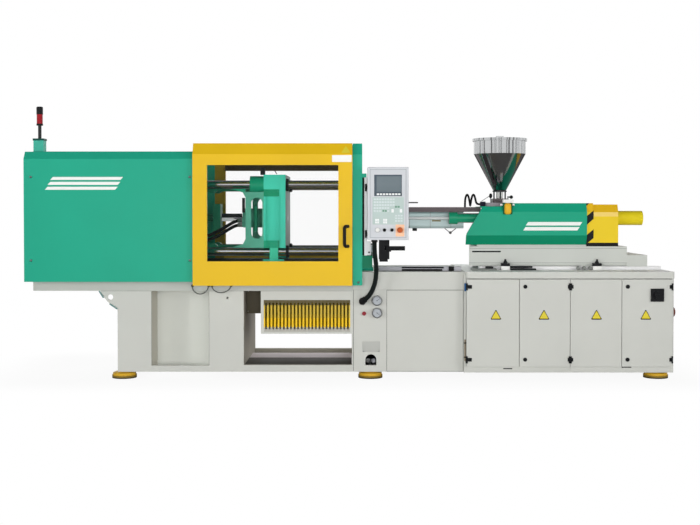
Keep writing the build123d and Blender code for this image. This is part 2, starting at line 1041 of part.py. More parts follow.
# Fixed platen with its feet, locating bore, bolt holes and tie bar holes
fixed_back_x = fixed_face_x + fixed_platen_thickness
bar_places = corners(tie_bar_offset, tie_bar_offset)
with BuildPart() as fixed_platen:
    with BuildSketch(Plane.YZ.offset(fixed_face_x)) as platen_outline:
        with Locations((0, middle((platen_bottom, platen_top)))):
            RectangleRounded(2 * platen_half_width, platen_top - platen_bottom, sheet * 6)
    extrude(platen_outline.sketch, amount=fixed_platen_thickness)
    for foot_low in (-platen_half_width, platen_half_width - fixed_foot_width):
        foot_span = (foot_low, foot_low + fixed_foot_width)
        block((fixed_face_x, fixed_back_x), foot_span, (table_top, platen_bottom + sheet * 6))
    fixed_foot_top = tank_top + fixed_foot_height
    for foot_low in (-platen_half_width, platen_half_width - fixed_foot_width):
        foot_span = (foot_low, foot_low + fixed_foot_width)
        block((fixed_back_x - 1, fixed_foot_right), foot_span, (tank_top, fixed_foot_top))
    # The feet straddle the step between the two bed tops
    block(
        (bed_joint_x, fixed_foot_right),
        full_width,
        (table_top - 1, tank_top),
        Mode.SUBTRACT,
    )
    for bar_y, bar_z in bar_places:
        bar_hole = tie_bar_radius + running_fit
        rod_x((fixed_face_x, fixed_back_x), bar_y, bar_z, bar_hole, Mode.SUBTRACT)
    locating_end = fixed_face_x + locating_depth
    rod_x((fixed_face_x, locating_end), 0, axis_height, locating_radius, Mode.SUBTRACT)
    with BuildSketch(Plane.XZ) as nozzle_cut:
        with BuildLine():
            Polyline(
                (locating_end - 1, axis_height),
                (locating_end - 1, axis_height + locating_radius - 12),
                (fixed_back_x, axis_height + nozzle_hole_radius),
                (fixed_back_x, axis_height),
                close=True,
            )
        make_face()
    machine_axis = Axis((0, 0, axis_height), (1, 0, 0))
    revolve(nozzle_cut.sketch, axis=machine_axis, mode=Mode.SUBTRACT)
    bolt_x = (fixed_face_x, fixed_face_x + bolt_hole_depth)
    bolt_places = corners(bolt_square / 2, bolt_square / 2) + corners(bolt_wide / 2, bolt_narrow / 2)
    for bolt_y, bolt_z in bolt_places:
        rod_x(bolt_x, bolt_y, bolt_z, bolt_hole_radius, Mode.SUBTRACT)
save(fixed_platen, "fixed_platen")

with BuildPart() as tie_bars:
    for bar_y, bar_z in bar_places:
        rod_x((tie_bar_left, fixed_back_x), bar_y, bar_z, tie_bar_radius)
        with BuildSketch(Plane.YZ.offset(fixed_back_x)) as head:
            with Locations((bar_y, bar_z)):
                RegularPolygon(tie_bar_head_radius, 6)
        extrude(head.sketch, amount=tie_bar_head)
save(tie_bars, "tie_bars")

# Moving platen: mould plate, body, skirt with oval windows, sleeves, feet and lugs
with BuildPart() as moving_platen:
    body_z = (moving_body_bottom, platen_top)
    block((mould_plate_back_x, moving_face_x), mirrored(platen_half_width), body_z)
    block(
        (moving_block_back_x, mould_plate_back_x + 1),
        mirrored(moving_block_half_width),
        body_z,
    )
    centre_y = mirrored(moving_inner_width)
    block(
        (moving_block_back_x, moving_face_x),
        centre_y,
        (moving_centre_bottom, moving_body_bottom + 1),
    )
    for pocket_y in (-moving_block_half_width, moving_block_half_width - moving_pocket_depth):
        block(
            (moving_block_back_x + skirt_wall / 2, mould_plate_back_x - 1),
            (pocket_y, pocket_y + moving_pocket_depth),
            (moving_pocket_bottom, moving_pocket_top),
            Mode.SUBTRACT,
        )
    # Skirt behind the body: side walls with an oval window and a rear rib
    for wall_low in (-moving_block_half_width, moving_block_half_width - skirt_wall):
        skirt_y = (wall_low, wall_low + skirt_wall)
        skirt_z = (moving_body_bottom, skirt_top)
        block((skirt_back_x, moving_block_back_x + 1), skirt_y, skirt_z)
        oval_radius = (oval_right - oval_left) / 2
        with BuildSketch(Plane.XZ.offset(-skirt_y[1])) as oval:
            with Locations((middle((oval_left, oval_right)), middle((oval_bottom, oval_top)))):
                SlotOverall(oval_top - oval_bottom, 2 * oval_radius, rotation=90)
        extrude(oval.sketch, amount=skirt_wall, mode=Mode.SUBTRACT)
        # The wall flares out towards the tie bars, above and below
        for flare_side in mirrored(1):
            flare_z = axis_height + flare_side * (tie_bar_offset - tie_bar_radius)
            side_plate(
                [
                    (skirt_back_x + 1, flare_z),
                    (flare_tip_x, flare_z),
                    (flare_knee_x, flare_z - flare_side * flare_depth),
                    (skirt_back_x + 1, flare_z - flare_side * flare_reach),
                ],
                skirt_y,
            )
    for bar_y, bar_z in bar_places:
        if bar_z > axis_height:
            sleeve_x = (skirt_rib_front_x, moving_block_back_x + 1)
            rod_x(sleeve_x, bar_y, bar_z, sleeve_radius)
    rod_x((boss_left_x, moving_block_back_x + 1), 0, axis_height, boss_radius)
    # Link lugs, one pair for each front link
    for lug_z in (axis_height - lug_height, axis_height + lug_height):
        for lug_y in (-front_lug_outer, front_lug_inner):
            lug_span = (lug_y, lug_y + front_lug_outer - front_lug_inner)
            lug_x = (front_lug_x, moving_block_back_x + 1)
            block(lug_x, lug_span, (lug_z - lug_width, lug_z + lug_width))
            rod_y(front_lug_x, lug_span, lug_z, lug_width)
        for pin_side in mirrored(1):
            pin_y = sorted((pin_side * front_lug_inner, pin_side * front_link_outer))
            rod_y(front_lug_x, (pin_y[0], pin_y[1]), lug_z, link_pin_radius)
    # Manifold that the two hoses end at
    block(
        (hose_block_left_x, hose_block_right_x),
        (-front_lug_outer, -boss_radius + 24),
        (axis_height - 70, axis_height + 3),
    )
    # Feet beside the lower tie bars and the soles on the guides
    for foot_side in mirrored(1):
        foot_span = sorted((foot_side * foot_inner_y, foot_side * foot_outer_y))
        foot_y_range = (foot_span[0], foot_span[1])
        sole_bottom = guide_top + rest_gap
        block(
            (moving_foot_left, moving_foot_right),
            foot_y_range,
            (sole_bottom, moving_body_bottom + 60),
        )
        block(
            (moving_sole_left, moving_sole_right),
            foot_y_range,
            (sole_bottom, sole_bottom + sole_height),
        )
    for bar_y, bar_z in bar_places:
        bar_hole = tie_bar_radius + running_fit
        through = (skirt_back_x, moving_face_x)
        rod_x(through, bar_y, bar_z, bar_hole, Mode.SUBTRACT)
    for bar_side in mirrored(tie_bar_offset):
        clear = tie_bar_radius + running_fit
        block(
            (skirt_back_x, moving_face_x),
            (bar_side - clear - 5, bar_side + clear + 5),
            (platen_bottom, axis_height - tie_bar_offset + clear + 2),
            Mode.SUBTRACT,
        )
    # Ejector chamber, its bore and the bolt holes for the mould
    chamber = (ejector_chamber_left, ejector_chamber_right)
    rod_x(chamber, 0, axis_height, ejector_piston_radius + running_fit, Mode.SUBTRACT)
    bore = (ejector_chamber_right - 1, moving_face_x)
    rod_x(bore, 0, axis_height, ejector_radius + running_fit, Mode.SUBTRACT)
    bolt_x = (moving_face_x - bolt_hole_depth, moving_face_x)
    for bolt_y, bolt_z in bolt_places:
        rod_x(bolt_x, bolt_y, bolt_z, bolt_hole_radius, Mode.SUBTRACT)
save(moving_platen, "moving_platen")

with BuildPart() as ejector_rod:
    ejector_back = ejector_chamber_right - ejector_stroke - ejector_piston - rest_gap
    rod_x((ejector_back, moving_face_x), 0, axis_height, ejector_radius)
    piston_x = (ejector_back, ejector_back + ejector_piston)
    rod_x(piston_x, 0, axis_height, ejector_piston_radius)
save(ejector_rod, "ejector_rod")

with BuildPart() as crosshead_guides:
    for guide_y in mirrored(guide_rod_y):
        rod_x((guide_rod_left, boss_left_x), guide_y, axis_height, guide_rod_radius)
save(crosshead_guides, "crosshead_guides")

# Tail platen with the rear lugs and the clamp cylinder's seat
tail_back_x = tail_front_x - tail_thickness
rear_lug_x = front_lug_x - front_link_length - rear_link_length
with BuildPart() as tail_platen:
    with BuildSketch(Plane.YZ.offset(tail_back_x)) as tail_outline:
        with Locations((0, middle((moving_centre_bottom, platen_top)))):
            RectangleRounded(
                2 * platen_half_width, platen_top - moving_centre_bottom, sheet * 6
            )
    extrude(tail_outline.sketch, amount=tail_thickness)
    for lug_z in (axis_height - lug_height, axis_height + lug_height):
        for lug_side in mirrored(1):
            lug_y = sorted((lug_side * rear_lug_inner, lug_side * rear_lug_outer))
            block(
                (tail_front_x - 1, rear_lug_x),
                (lug_y[0], lug_y[1]),
                (lug_z - lug_width, lug_z + lug_width),
            )
            rod_y(rear_lug_x, (lug_y[0], lug_y[1]), lug_z, lug_width)
            pin_y = sorted((lug_side * rear_link_inner, lug_side * rear_lug_outer))
            rod_y(rear_lug_x, (pin_y[0], pin_y[1]), lug_z, link_pin_radius)
    for foot_side in mirrored(1):
        foot_span = sorted((foot_side * foot_inner_y, foot_side * foot_outer_y))
        block(
            (tail_back_x, tail_front_x),
            (foot_span[0], foot_span[1]),
            (guide_top + rest_gap, moving_centre_bottom + 60),
        )
    for bar_y, bar_z in bar_places:
        bar_hole = tie_bar_radius + running_fit
        rod_x((tail_back_x, tail_front_x), bar_y, bar_z, bar_hole, Mode.SUBTRACT)
    rod_x(
        (tail_back_x, tail_front_x),
        0,
        axis_height,
        piston_rod_radius + running_fit,
        Mode.SUBTRACT,
    )
save(tail_platen, "tail_platen")

with BuildPart() as mould_height_nuts:
    for bar_y, bar_z in bar_places:
        nut_x = (tail_back_x - nut_thickness, tail_back_x)
        rod_x(nut_x, bar_y, bar_z, nut_radius)
        with BuildSketch(Plane.YZ.offset(nut_x[0])) as gear:
            with Locations((bar_y, bar_z)):
                Circle(nut_gear_radius)
                with PolarLocations(nut_gear_radius, 24):
                    Rectangle(8, 8, mode=Mode.SUBTRACT)
        extrude(gear.sketch, amount=nut_gear_thickness)
        rod_x(nut_x, bar_y, bar_z, tie_bar_radius + running_fit, Mode.SUBTRACT)
save(mould_height_nuts, "mould_height_nuts")

with BuildPart() as clamp_cylinder:
    cylinder_left = tail_back_x - cylinder_length
    rod_x((cylinder_left, tail_back_x), 0, axis_height, cylinder_radius)
    rod_x((tail_back_x - cylinder_flange, tail_back_x), 0, axis_height, cylinder_flange_radius)
    rod_x((cylinder_left - 1, cylinder_left + cylinder_cap), 0, axis_height, cylinder_radius + 15)
    inside = (cylinder_left + cylinder_cap, tail_back_x - cylinder_flange)
    rod_x(inside, 0, axis_height, piston_radius + running_fit, Mode.SUBTRACT)
    neck = (tail_back_x - cylinder_flange - 1, tail_back_x)
    rod_x(neck, 0, axis_height, piston_rod_radius + running_fit, Mode.SUBTRACT)
save(clamp_cylinder, "clamp_cylinder")

# Crosshead with the piston rod and piston
with BuildPart() as crosshead:
    crosshead_x_range = (
        crosshead_x - crosshead_thickness / 2,
        crosshead_x + crosshead_thickness / 2,
    )
    crosshead_z = (axis_height - crosshead_half_height, axis_height + crosshead_half_height)
    block(crosshead_x_range, mirrored(crosshead_half_width), crosshead_z)
    long_edges = crosshead.edges().filter_by(Axis.Y)
    fillet(long_edges, radius=sheet * 2)
    for guide_y in mirrored(guide_rod_y):
        rod_x(
            crosshead_x_range,
            guide_y,
            axis_height,
            guide_rod_radius + running_fit,
            Mode.SUBTRACT,
        )
    piston_right = tail_back_x - cylinder_flange - sheet
    rod_x((piston_right - piston_length, crosshead_x_range[0]), 0, axis_height, piston_rod_radius)
    rod_x((piston_right - piston_length, piston_right), 0, axis_height, piston_radius)
save(crosshead, "crosshead")


def link(pin_x, length, y_range, direction, name, height):
    """A pair of link plates from a lug pin to the knee, one on each side."""
    pin_z = axis_height + height
    knee_x = pin_x + direction * length
    with BuildPart() as plates:
        for side in mirrored(1):
            span = sorted((side * y_range[0], side * y_range[1]))
            plate = (span[0], span[1])
            rod_y(pin_x, plate, pin_z, link_eye_radius)
            rod_y(knee_x, plate, pin_z, link_eye_radius)
            along = sorted((pin_x, knee_x))
            block((along[0], along[1]), plate, (pin_z - link_waist, pin_z + link_waist))
            rod_y(pin_x, plate, pin_z, link_pin_radius + running_fit, Mode.SUBTRACT)
            knee_face = sorted((side * y_range[1], side * (y_range[1] + knee_boss)))
            rod_y(knee_x, (knee_face[0], knee_face[1]), pin_z, link_pin_radius)
    save(plates, name)


rear_span = (rear_link_inner, rear_link_outer)
front_span = (front_link_inner, front_link_outer)
link(rear_lug_x, rear_link_length, rear_span, 1, "rear_link_upper", lug_height)
link(rear_lug_x, rear_link_length, rear_span, 1, "rear_link_lower", -lug_height)
link(front_lug_x, front_link_length, front_span, -1, "front_link_upper", lug_height)
link(front_lug_x, front_link_length, front_span, -1, "front_link_lower", -lug_height)

# Two hoses from the manifold on the moving platen back to the tail platen
hose_y = -92
hose_route = [
    (-838, hose_y, 1174),
    (-880, hose_y, 1174),
    (-940, hose_y, 1142),
    (-1000, hose_y, 1104),
    (-1065, hose_y, 1070),
    (-1130, hose_y, 1047),
    (-1205, hose_y, 1031),
    (-1285, hose_y, 1008),
    (-1350, hose_y, 979),
    (-1397, hose_y, 962),
    (-1440, hose_y, 962),
]
hose_spacing = 34
lower_hose_route = [(x, y, z - hose_spacing) for x, y, z in hose_route]
with BuildPart() as clamp_hoses:
    for route in (hose_route, lower_hose_route):
        add(cable(route, hose_radius, "clamp_hose").part)
save(clamp_hoses, "clamp_hoses")


# Fixed covers of the clamp, front and rear, from one profile in Y and Z
def cover_profile(side, inset):
    """The cover's folded section, inset by a sheet for its inner face."""
    face = side * (cover_front_y - inset)
    top = side * (cover_top_y - inset * 0.8)
    return [
        (face, cover_bottom),
        (face, cover_face_top),
        (top, cover_top - inset),
        (side * cover_flange_y, cover_top - inset),
    ]


def clamp_cover(side, name, with_end):
    outer = cover_profile(side, 0)
    inner = cover_profile(side, sheet)
    with BuildPart() as cover:
        end_plate(outer + inner[::-1], (left_end, cover_right_x))
        # Flange that stands on the bed, and the rail for the sliding door's rollers
        seat_y = sorted((side * (cover_front_y - 1), side * (bed_half_width - cover_seat)))
        block((left_end, cover_right_x), (seat_y[0], seat_y[1]), (table_top, table_top + sheet))
        half_rail = hanger_rail_width / 2
        rail_y = sorted((side * (hanger_rail_y + half_rail), side * (hanger_rail_y - half_rail)))
        block(
            (left_end, cover_right_x),
            (rail_y[0], rail_y[1]),
            (cover_top - 1, hanger_rail_top),
        )
        if with_end:
            end_outline = outer + [(-outer[3][0], cover_top), (-outer[3][0], cover_bottom)]
            end_plate(end_outline, (left_end, left_end + sheet))
        else:
            lap = [outer[0], outer[1], outer[2], outer[3]]
            lap.append((side * (cover_flange_y + rest_gap), cover_bottom))
            lap[3] = (side * (cover_flange_y + rest_gap), cover_top)
            end_plate(lap, (left_end, left_end + sheet))
    save(cover, name)


clamp_cover(-1, "clamp_cover_front", False)
clamp_cover(1, "clamp_cover_rear", True)


def guard_frame(side, name):
    """A post beside the sliding door and the beam that carries the door."""
    with BuildPart() as frame:
        post = [
            (side * bed_half_width, guard_post_bottom),
            (side * cover_front_y, guard_post_bottom),
            (side * cover_front_y, guard_post_face_top),
            (side * cover_top_y, guard_post_top),
            (side * bed_half_width, guard_post_top),
        ]
        end_plate(post, (guard_post_left, guard_post_right))
        beam_y = sorted(
            (side * guard_beam_front_y, side * (guard_beam_front_y - guard_beam_depth))
        )
        beam_z = (cover_top, cover_top + guard_beam_height)
        block((guard_beam_left, guard_post_left + 1), (beam_y[0], beam_y[1]), beam_z)
        # Arms from the beam to the rail that the door's rollers run on
        half_rail = hanger_rail_width / 2
        arm_y = sorted((side * (guard_beam_front_y - 1), side * (hanger_rail_y - half_rail)))
        rail_z = (hanger_rail_top - hanger_rail_width, hanger_rail_top)
        for arm_left in (cover_right_x, guard_post_right - guard_arm_width):
            block((arm_left, arm_left + guard_arm_width), (arm_y[0], arm_y[1]), rail_z)
        rail_y = sorted((side * (hanger_rail_y + half_rail), side * (hanger_rail_y - half_rail)))
        block((cover_right_x, guard_post_right), (rail_y[0], rail_y[1]), rail_z)
        lug_y = sorted((side * bed_half_width, side * lug_front_y))
        if side < 0:
            block(
                (guard_post_right - 1, lug_upper_right),
                (lug_y[0], lug_y[1]),
                (lug_upper_bottom, lug_upper_top),
            )
            block(
                (guard_post_right - 1, lug_lower_right),
                (lug_y[0], lug_y[1]),
                (lug_lower_bottom, lug_lower_top),
            )
    save(frame, name)


guard_frame(-1, "front_guard_frame")
guard_frame(1, "rear_guard_frame")

# Beacon: terminal box, pole, lens and cap
with BuildPart() as beacon:
    half_box = beacon_box_width / 2
    beacon_x = left_end + beacon_inset
    box_x = (beacon_x - half_box, beacon_x + half_box)
    box_y = (beacon_y - half_box, beacon_y + half_box)
    box_top = cover_top + beacon_box_height
    block(box_x, box_y, (cover_top, box_top))
    lid = beacon_lid_overhang
    lid_top = box_top + beacon_lid_height
    block((box_x[0] - lid, box_x[1] + lid), (box_y[0] - lid, box_y[1] + lid), (box_top, lid_top))
    pole_top = lid_top + beacon_pole_height
    rod_z(beacon_x, beacon_y, (lid_top, pole_top), beacon_pole_radius)
    collar_top = pole_top + beacon_collar_height
    rod_z(beacon_x, beacon_y, (pole_top, collar_top), beacon_collar_radius)
    lens_top = collar_top + beacon_lens_height
    rod_z(beacon_x, beacon_y, (collar_top, lens_top), beacon_lens_radius)
    cap_top = lens_top + beacon_cap_height
    rod_z(beacon_x, beacon_y, (lens_top, cap_top), beacon_collar_radius)
    top_rim = beacon.edges().filter_by(GeomType.CIRCLE).sort_by(Axis.Z)[-1]
    fillet(top_rim, radius=sheet * 2)
save(beacon, "beacon")


def sliding_door(side, name):
    """A folded door frame around its window, with rollers and a pull handle."""
    face = side * door_front_y
    back = side * (door_front_y - door_depth)
    top = side * door_top_y
    flange = side * (hanger_rail_y - roller_width)
    with BuildPart() as door:
        outer = [
            (back, door_bottom),
            (face, door_bottom),
            (face, door_face_top),
            (top, door_top),
            (flange, door_top),
            (flange, door_top - sheet),
            (top, door_top - sheet),
            (back, door_face_top - sheet),
        ]
        end_plate(outer, (door_left, door_right))
        # The frame is hollow towards the machine
        hollow_y = sorted((back, side * (door_front_y - sheet)))
        block(
            (door_left + sheet, door_window_left - sheet),
            (hollow_y[0], hollow_y[1]),
            (door_bottom + sheet, door_face_top - sheet * 2),
            Mode.SUBTRACT,
        )
        block(
            (door_window_right + sheet, door_right - sheet),
            (hollow_y[0], hollow_y[1]),
            (door_bottom + sheet, door_face_top - sheet * 2),
            Mode.SUBTRACT,
        )
        face_y = sorted((back, face))
        block(
            (door_window_left, door_window_right),
            (face_y[0], face_y[1]),
            (door_window_bottom, door_window_top),
            Mode.SUBTRACT,
        )
        block(
            (door_window_left - sheet, door_window_right + sheet),
            (hollow_y[0], hollow_y[1]),
            (door_bottom + sheet, door_window_bottom - sheet),
            Mode.SUBTRACT,
        )
        for roller_x in (door_left + roller_inset, door_right - roller_inset):
            roller_middle = side * hanger_rail_y
            roller_y = (roller_middle - roller_width / 2, roller_middle + roller_width / 2)
            roller_z = hanger_rail_top + rest_gap + roller_radius
            rod_y(roller_x, roller_y, roller_z, roller_radius)
            block(
                (roller_x - roller_radius, roller_x + roller_radius),
                roller_y,
                (roller_z, door_top + 1),
            )
        with BuildLine() as grip:
            FilletPolyline(
                (handle_root_x, side * handle_root_y, handle_top_z),
                (handle_grip_x, side * handle_grip_y, handle_top_z),
                (handle_grip_x, side * handle_grip_y, handle_bottom_z),
                (handle_root_x, side * handle_root_y, handle_bottom_z),
                radius=handle_bend_radius,
            )
        with BuildSketch(Plane(origin=grip.line @ 0, z_dir=grip.line % 0)) as grip_section:
            Circle(handle_bar_radius)
        sweep(grip_section.sketch, path=grip.line)
    save(door, name)


def door_window(side, name):
    pane_front = door_front_y - sheet
    pane_y = sorted((side * (pane_front - window_pane), side * pane_front))
    with BuildPart() as pane:
        block(
            (door_window_left, door_window_right),
            (pane_y[0], pane_y[1]),
            (door_window_bottom, door_window_top),
        )
    save(pane, name)


sliding_door(-1, "front_door")
sliding_door(1, "rear_door")
door_window(-1, "front_window")
door_window(1, "rear_window")

# Hinged bracket bar and the control panel that swings on it
with BuildPart() as panel_bracket:
    block(
        (bracket_left, bracket_right),
        (-lug_front_y, bracket_back_y),
        (lug_lower_top, lug_upper_bottom),
    )
    for hinge_z in (panel_hinge_upper_z, panel_hinge_lower_z):
        reach = panel_knuckle_height / 2 + rest_gap
        for ear_z in (
            (hinge_z - reach - panel_ear_height, hinge_z - reach),
            (hinge_z + reach, hinge_z + reach + panel_ear_height),
        ):
            rod_z(panel_hinge_x, panel_hinge_y, ear_z, panel_knuckle_radius)
            block(
                (panel_hinge_x - panel_knuckle_radius, panel_hinge_x),
                (panel_hinge_y, -lug_front_y + 1),
                ear_z,
            )
        pin_z = (hinge_z - reach - 1, hinge_z + reach + 1)
        rod_z(panel_hinge_x, panel_hinge_y, pin_z, panel_pin_radius)
save(panel_bracket, "panel_bracket")

with BuildPart() as control_panel:
    with BuildSketch(Plane.XZ.offset(-control_back_y)) as panel_outline:
        with Locations(
            (middle((control_left, control_right)), middle((control_bottom, control_top)))
        ):
            RectangleRounded(
                control_right - control_left, control_top - control_bottom, control_round
            )
    extrude(panel_outline.sketch, amount=control_back_y - control_front_y)
    face_edges = control_panel.faces().sort_by(Axis.Y)[0].edges()
    fillet(face_edges, radius=sheet)
    block(
        (control_left + control_recess_side, control_right - control_recess_side),
        (control_front_y, control_front_y + control_recess_depth),
        (control_bottom + control_recess_top, control_top - control_recess_top),
        Mode.SUBTRACT,
    )
    for hinge_z in (panel_hinge_upper_z, panel_hinge_lower_z):
        knuckle = (hinge_z - panel_knuckle_height / 2, hinge_z + panel_knuckle_height / 2)
        rod_z(panel_hinge_x, panel_hinge_y, knuckle, panel_knuckle_radius)
        block(
            (panel_hinge_x, control_left + 1),
            (panel_hinge_y - panel_knuckle_radius, panel_hinge_y),
            knuckle,
        )
        rod_z(
            panel_hinge_x,
            panel_hinge_y,
            knuckle,
            panel_pin_radius + running_fit,
            Mode.SUBTRACT,
        )
    # Cast swivel under the panel and the gland of the conduit
    swivel_x = (swivel_left, swivel_right)
    swivel_y = (swivel_front_y, swivel_back_y)
    block(swivel_x, swivel_y, (swivel_foot_bottom, control_bottom + 1))
    swivel_narrow = (swivel_left + sheet, swivel_right - sheet * 3)
    block(swivel_narrow, swivel_y, (swivel_bottom, swivel_foot_bottom + 1))
    hub_z = (lever_z - lever_half_height - rest_gap, lever_z + lever_half_height + rest_gap)
    lever_x = swivel_right + lever_hub_radius - sheet
    block(
        (swivel_right - 1, lever_x),
        (lever_y - lever_hub_radius, lever_y + lever_hub_radius),
        (hub_z[0] - sheet * 2, hub_z[0]),
    )
    block(
        (swivel_right - lever_hub_radius * 2, swivel_right + 1),
        swivel_y,
        hub_z,
        Mode.SUBTRACT,
    )
    rod_z(gland_x, panel_hinge_y, (control_bottom - gland_height, control_bottom + 1), gland_radius)
    panel_face = control_front_y + control_recess_depth
    for shaft_x in (key_x, selector_left_x, selector_right_x, stop_x):
        rod_y(
            shaft_x,
            (panel_face, panel_face + knob_shaft + stop_travel + 2),
            knob_row_z,
            knob_shaft_radius + running_fit,
            Mode.SUBTRACT,
        )
    rod_z(
        swivel_right - lever_hub_radius,
        lever_y,
        (hub_z[0] - sheet * 4, hub_z[1] + sheet * 4),
        lever_screw_radius,
    )
save(control_panel, "control_panel")

# Clamp lever that turns on a screw in the swivel
with BuildPart() as panel_lever:
    lever_pivot_x = swivel_right - lever_hub_radius
    lever_z_range = (lever_z - lever_half_height, lever_z + lever_half_height)
    rod_z(lever_pivot_x, lever_y, lever_z_range, lever_hub_radius - 1)
    block(
        (lever_pivot_x, lever_right),
        (lever_y - lever_screw_radius, lever_y + lever_screw_radius),
        lever_z_range,
    )
    rod_z(
        lever_pivot_x,
        lever_y,
        lever_z_range,
        lever_screw_radius + running_fit,
        Mode.SUBTRACT,
    )
save(panel_lever, "panel_lever")


def turning_knob(x, radius, name):
    """A round knob with a raised grip, on a shaft in the panel's face."""
    with BuildPart() as knob:
        back = panel_face - rest_gap
        rod_y(x, (back - knob_depth, back), knob_row_z, radius)
        cheek = (back - knob_depth, back - knob_depth / 2)
        for cheek_side in mirrored(1):
            edge = sorted((cheek_side * knob_grip_width / 2, cheek_side * radius))
            block(
                (x + edge[0], x + edge[1]),
                cheek,
                (knob_row_z - radius, knob_row_z + radius),
                Mode.SUBTRACT,
            )
        rod_y(x, (back, panel_face + knob_shaft), knob_row_z, knob_shaft_radius)
    save(knob, name)


turning_knob(selector_left_x, knob_radius, "selector_knob_left")
turning_knob(selector_right_x, knob_radius, "selector_knob_right")
turning_knob(key_x, key_radius, "key_switch")

with BuildPart() as stop_button:
    stop_back = panel_face - rest_gap - stop_travel
    head_back = stop_back - sheet
    rod_y(stop_x, (head_back - stop_depth / 2, head_back), knob_row_z, stop_radius)
    rod_y(stop_x, (head_back, stop_back), knob_row_z, stop_neck_radius)
    rod_y(stop_x, (stop_back, panel_face + knob_shaft), knob_row_z, knob_shaft_radius)
    front_rim = stop_button.edges().filter_by(GeomType.CIRCLE).sort_by(Axis.Y)[0]
    fillet(front_rim, radius=sheet)
save(stop_button, "stop_button")

# Corrugated conduit from the panel's gland down to the elbow on the gauge plate
conduit_route = [
    (gland_x, panel_hinge_y, control_bottom - gland_height),
    (gland_x, panel_hinge_y, 950),
    (189, -604, 880),
    (194, -603, 805),
    (186, -595, 730),
    (166, -580, 668),
    (140, -562, 622),
    (112.5, -545.5, 598),
]
panel_conduit = cable(conduit_route, conduit_radius, "panel_conduit")
save(panel_conduit, "panel_conduit")

with BuildPart() as conduit_elbow:
    conduit_end = Vector(*conduit_route[-1])
    outlet = (Vector(*conduit_route[-2]) - conduit_end).normalized()
    elbow_centre = conduit_end - outlet * elbow_reach
    with Locations(elbow_centre):
        Sphere(elbow_radius)
    seat_y = (elbow_centre.Y, plate_front_y)
    rod_y(elbow_centre.X, seat_y, elbow_centre.Z, elbow_radius)
    with BuildSketch(Plane(origin=elbow_centre, z_dir=outlet)) as outlet_ring:
        Circle(elbow_outlet_radius)
    extrude(outlet_ring.sketch, amount=elbow_reach)
save(conduit_elbow, "conduit_elbow")

# Two thin cable loops on the front of the clamp bed
loop_front = -bed_half_width
left_loop_route = [
    (-1168, loop_front, 694),
    (-1168, loop_front - 11, 694),
    (-1167, loop_front - 19, 686),
    (-1162, loop_front - 23, 664),
    (-1138, loop_front - 23, 640),
    (-1108, loop_front - 23, 632),
    (-1078, loop_front - 23, 641),
    (-1055, loop_front - 23, 664),
    (-1050, loop_front - 19, 686),
    (-1049, loop_front - 11, 694),
    (-1049, loop_front, 694),
]
right_loop_route = [
    (-1024, loop_front, 696),
    (-1024, loop_front - 11, 696),
    (-1022, loop_front - 19, 689),
    (-1013, loop_front - 23, 668),
    (-988, loop_front - 23, 649),
    (-953, loop_front - 23, 642),
    (-918, loop_front - 23, 650),
    (-892, loop_front - 23, 668),
    (-883, loop_front - 19, 689),
    (-881, loop_front - 11, 696),
    (-881, loop_front, 696),
]
with BuildPart() as loop_cables:
    for loop_route in (left_loop_route, right_loop_route):
        add(cable(loop_route, loop_cable_radius, "loop_cable").part)
save(loop_cables, "loop_cables")

# Sled of the injection unit: an open-bottomed casting with a rear slab
with BuildPart() as injection_base:
    sled_y = mirrored(sled_half_width)
    block((sled_end_wall_x, sled_right), sled_y, (sled_bottom, sled_top))
    # The front skirt reaches past the end wall as an apron
    block(
        (sled_left, sled_end_wall_x + 1),
        (-sled_half_width, -sled_half_width + sled_wall),
        (sled_bottom, sled_top),
    )
    block(
        (sled_right - 1, sled_slab_right),
        sled_y,
        (injection_rail_top + rest_gap, sled_slab_top),
    )
    block(
        (sled_end_wall_x + sled_wall, sled_slab_right - sled_wall),
        mirrored(sled_half_width - sled_wall),
        (injection_rail_top, sled_slab_top - sled_wall),
        Mode.SUBTRACT,
    )
    block(
        (sled_end_wall_x + sled_wall, sled_right - sled_wall),
        mirrored(sled_half_width - sled_wall),
        (sled_slab_top - sled_wall - 1, sled_top - sled_wall),
        Mode.SUBTRACT,
    )
    for shoe_x in (sled_left + sled_half_width, sled_right - sled_half_width):
        for shoe_y in (-injection_rail_outer, injection_rail_inner):
            rail_width = injection_rail_outer - injection_rail_inner
            block(
                (shoe_x - rail_width, shoe_x + rail_width),
                (shoe_y, shoe_y + rail_width),
                (injection_rail_top + rest_gap, sled_top - 1),
            )
    for ledge_y in (-sled_half_width, sled_half_width - sled_ledge):
        block(
            (sled_left, sled_right),
            (ledge_y, ledge_y + sled_ledge),
            (sled_bottom, sled_bottom + sled_ledge),
            Mode.SUBTRACT,
        )
    # Seats for the housing and the rear guard
    for seat_side in mirrored(1):
        seat_y = sorted((seat_side * housing_seat_inner, seat_side * housing_seat_outer))
        seat_x = (sled_end_wall_x, housing_right)
        block(seat_x, (seat_y[0], seat_y[1]), (sled_top - 1, housing_bottom))
    block(
        (housing_right, rear_guard_right),
        mirrored(rear_guard_half_width),
        (sled_top - 1, rear_guard_bottom),
    )
    # Bearing blocks for the drive guides and the feed block's seat
    for support_x in (drive_support_left, drive_support_rear):
        support = (support_x, support_x + drive_support_thickness)
        block(
            support,
            mirrored(drive_half_width),
            (sled_top - 1, axis_height + drive_half_height),
        )
        rod_x(support, 0, axis_height, drive_motor_radius + sheet, Mode.SUBTRACT)
    for guide_y in mirrored(drive_guide_y):
        rod_x(
            (drive_support_left, drive_support_rear + drive_support_thickness),
            guide_y,
            axis_height,
            drive_guide_radius,
        )
    block(
        (feed_block_left, feed_block_right),
        mirrored(feed_block_half_width),
        (sled_top - 1, feed_block_bottom),
    )
save(injection_base, "injection_base")

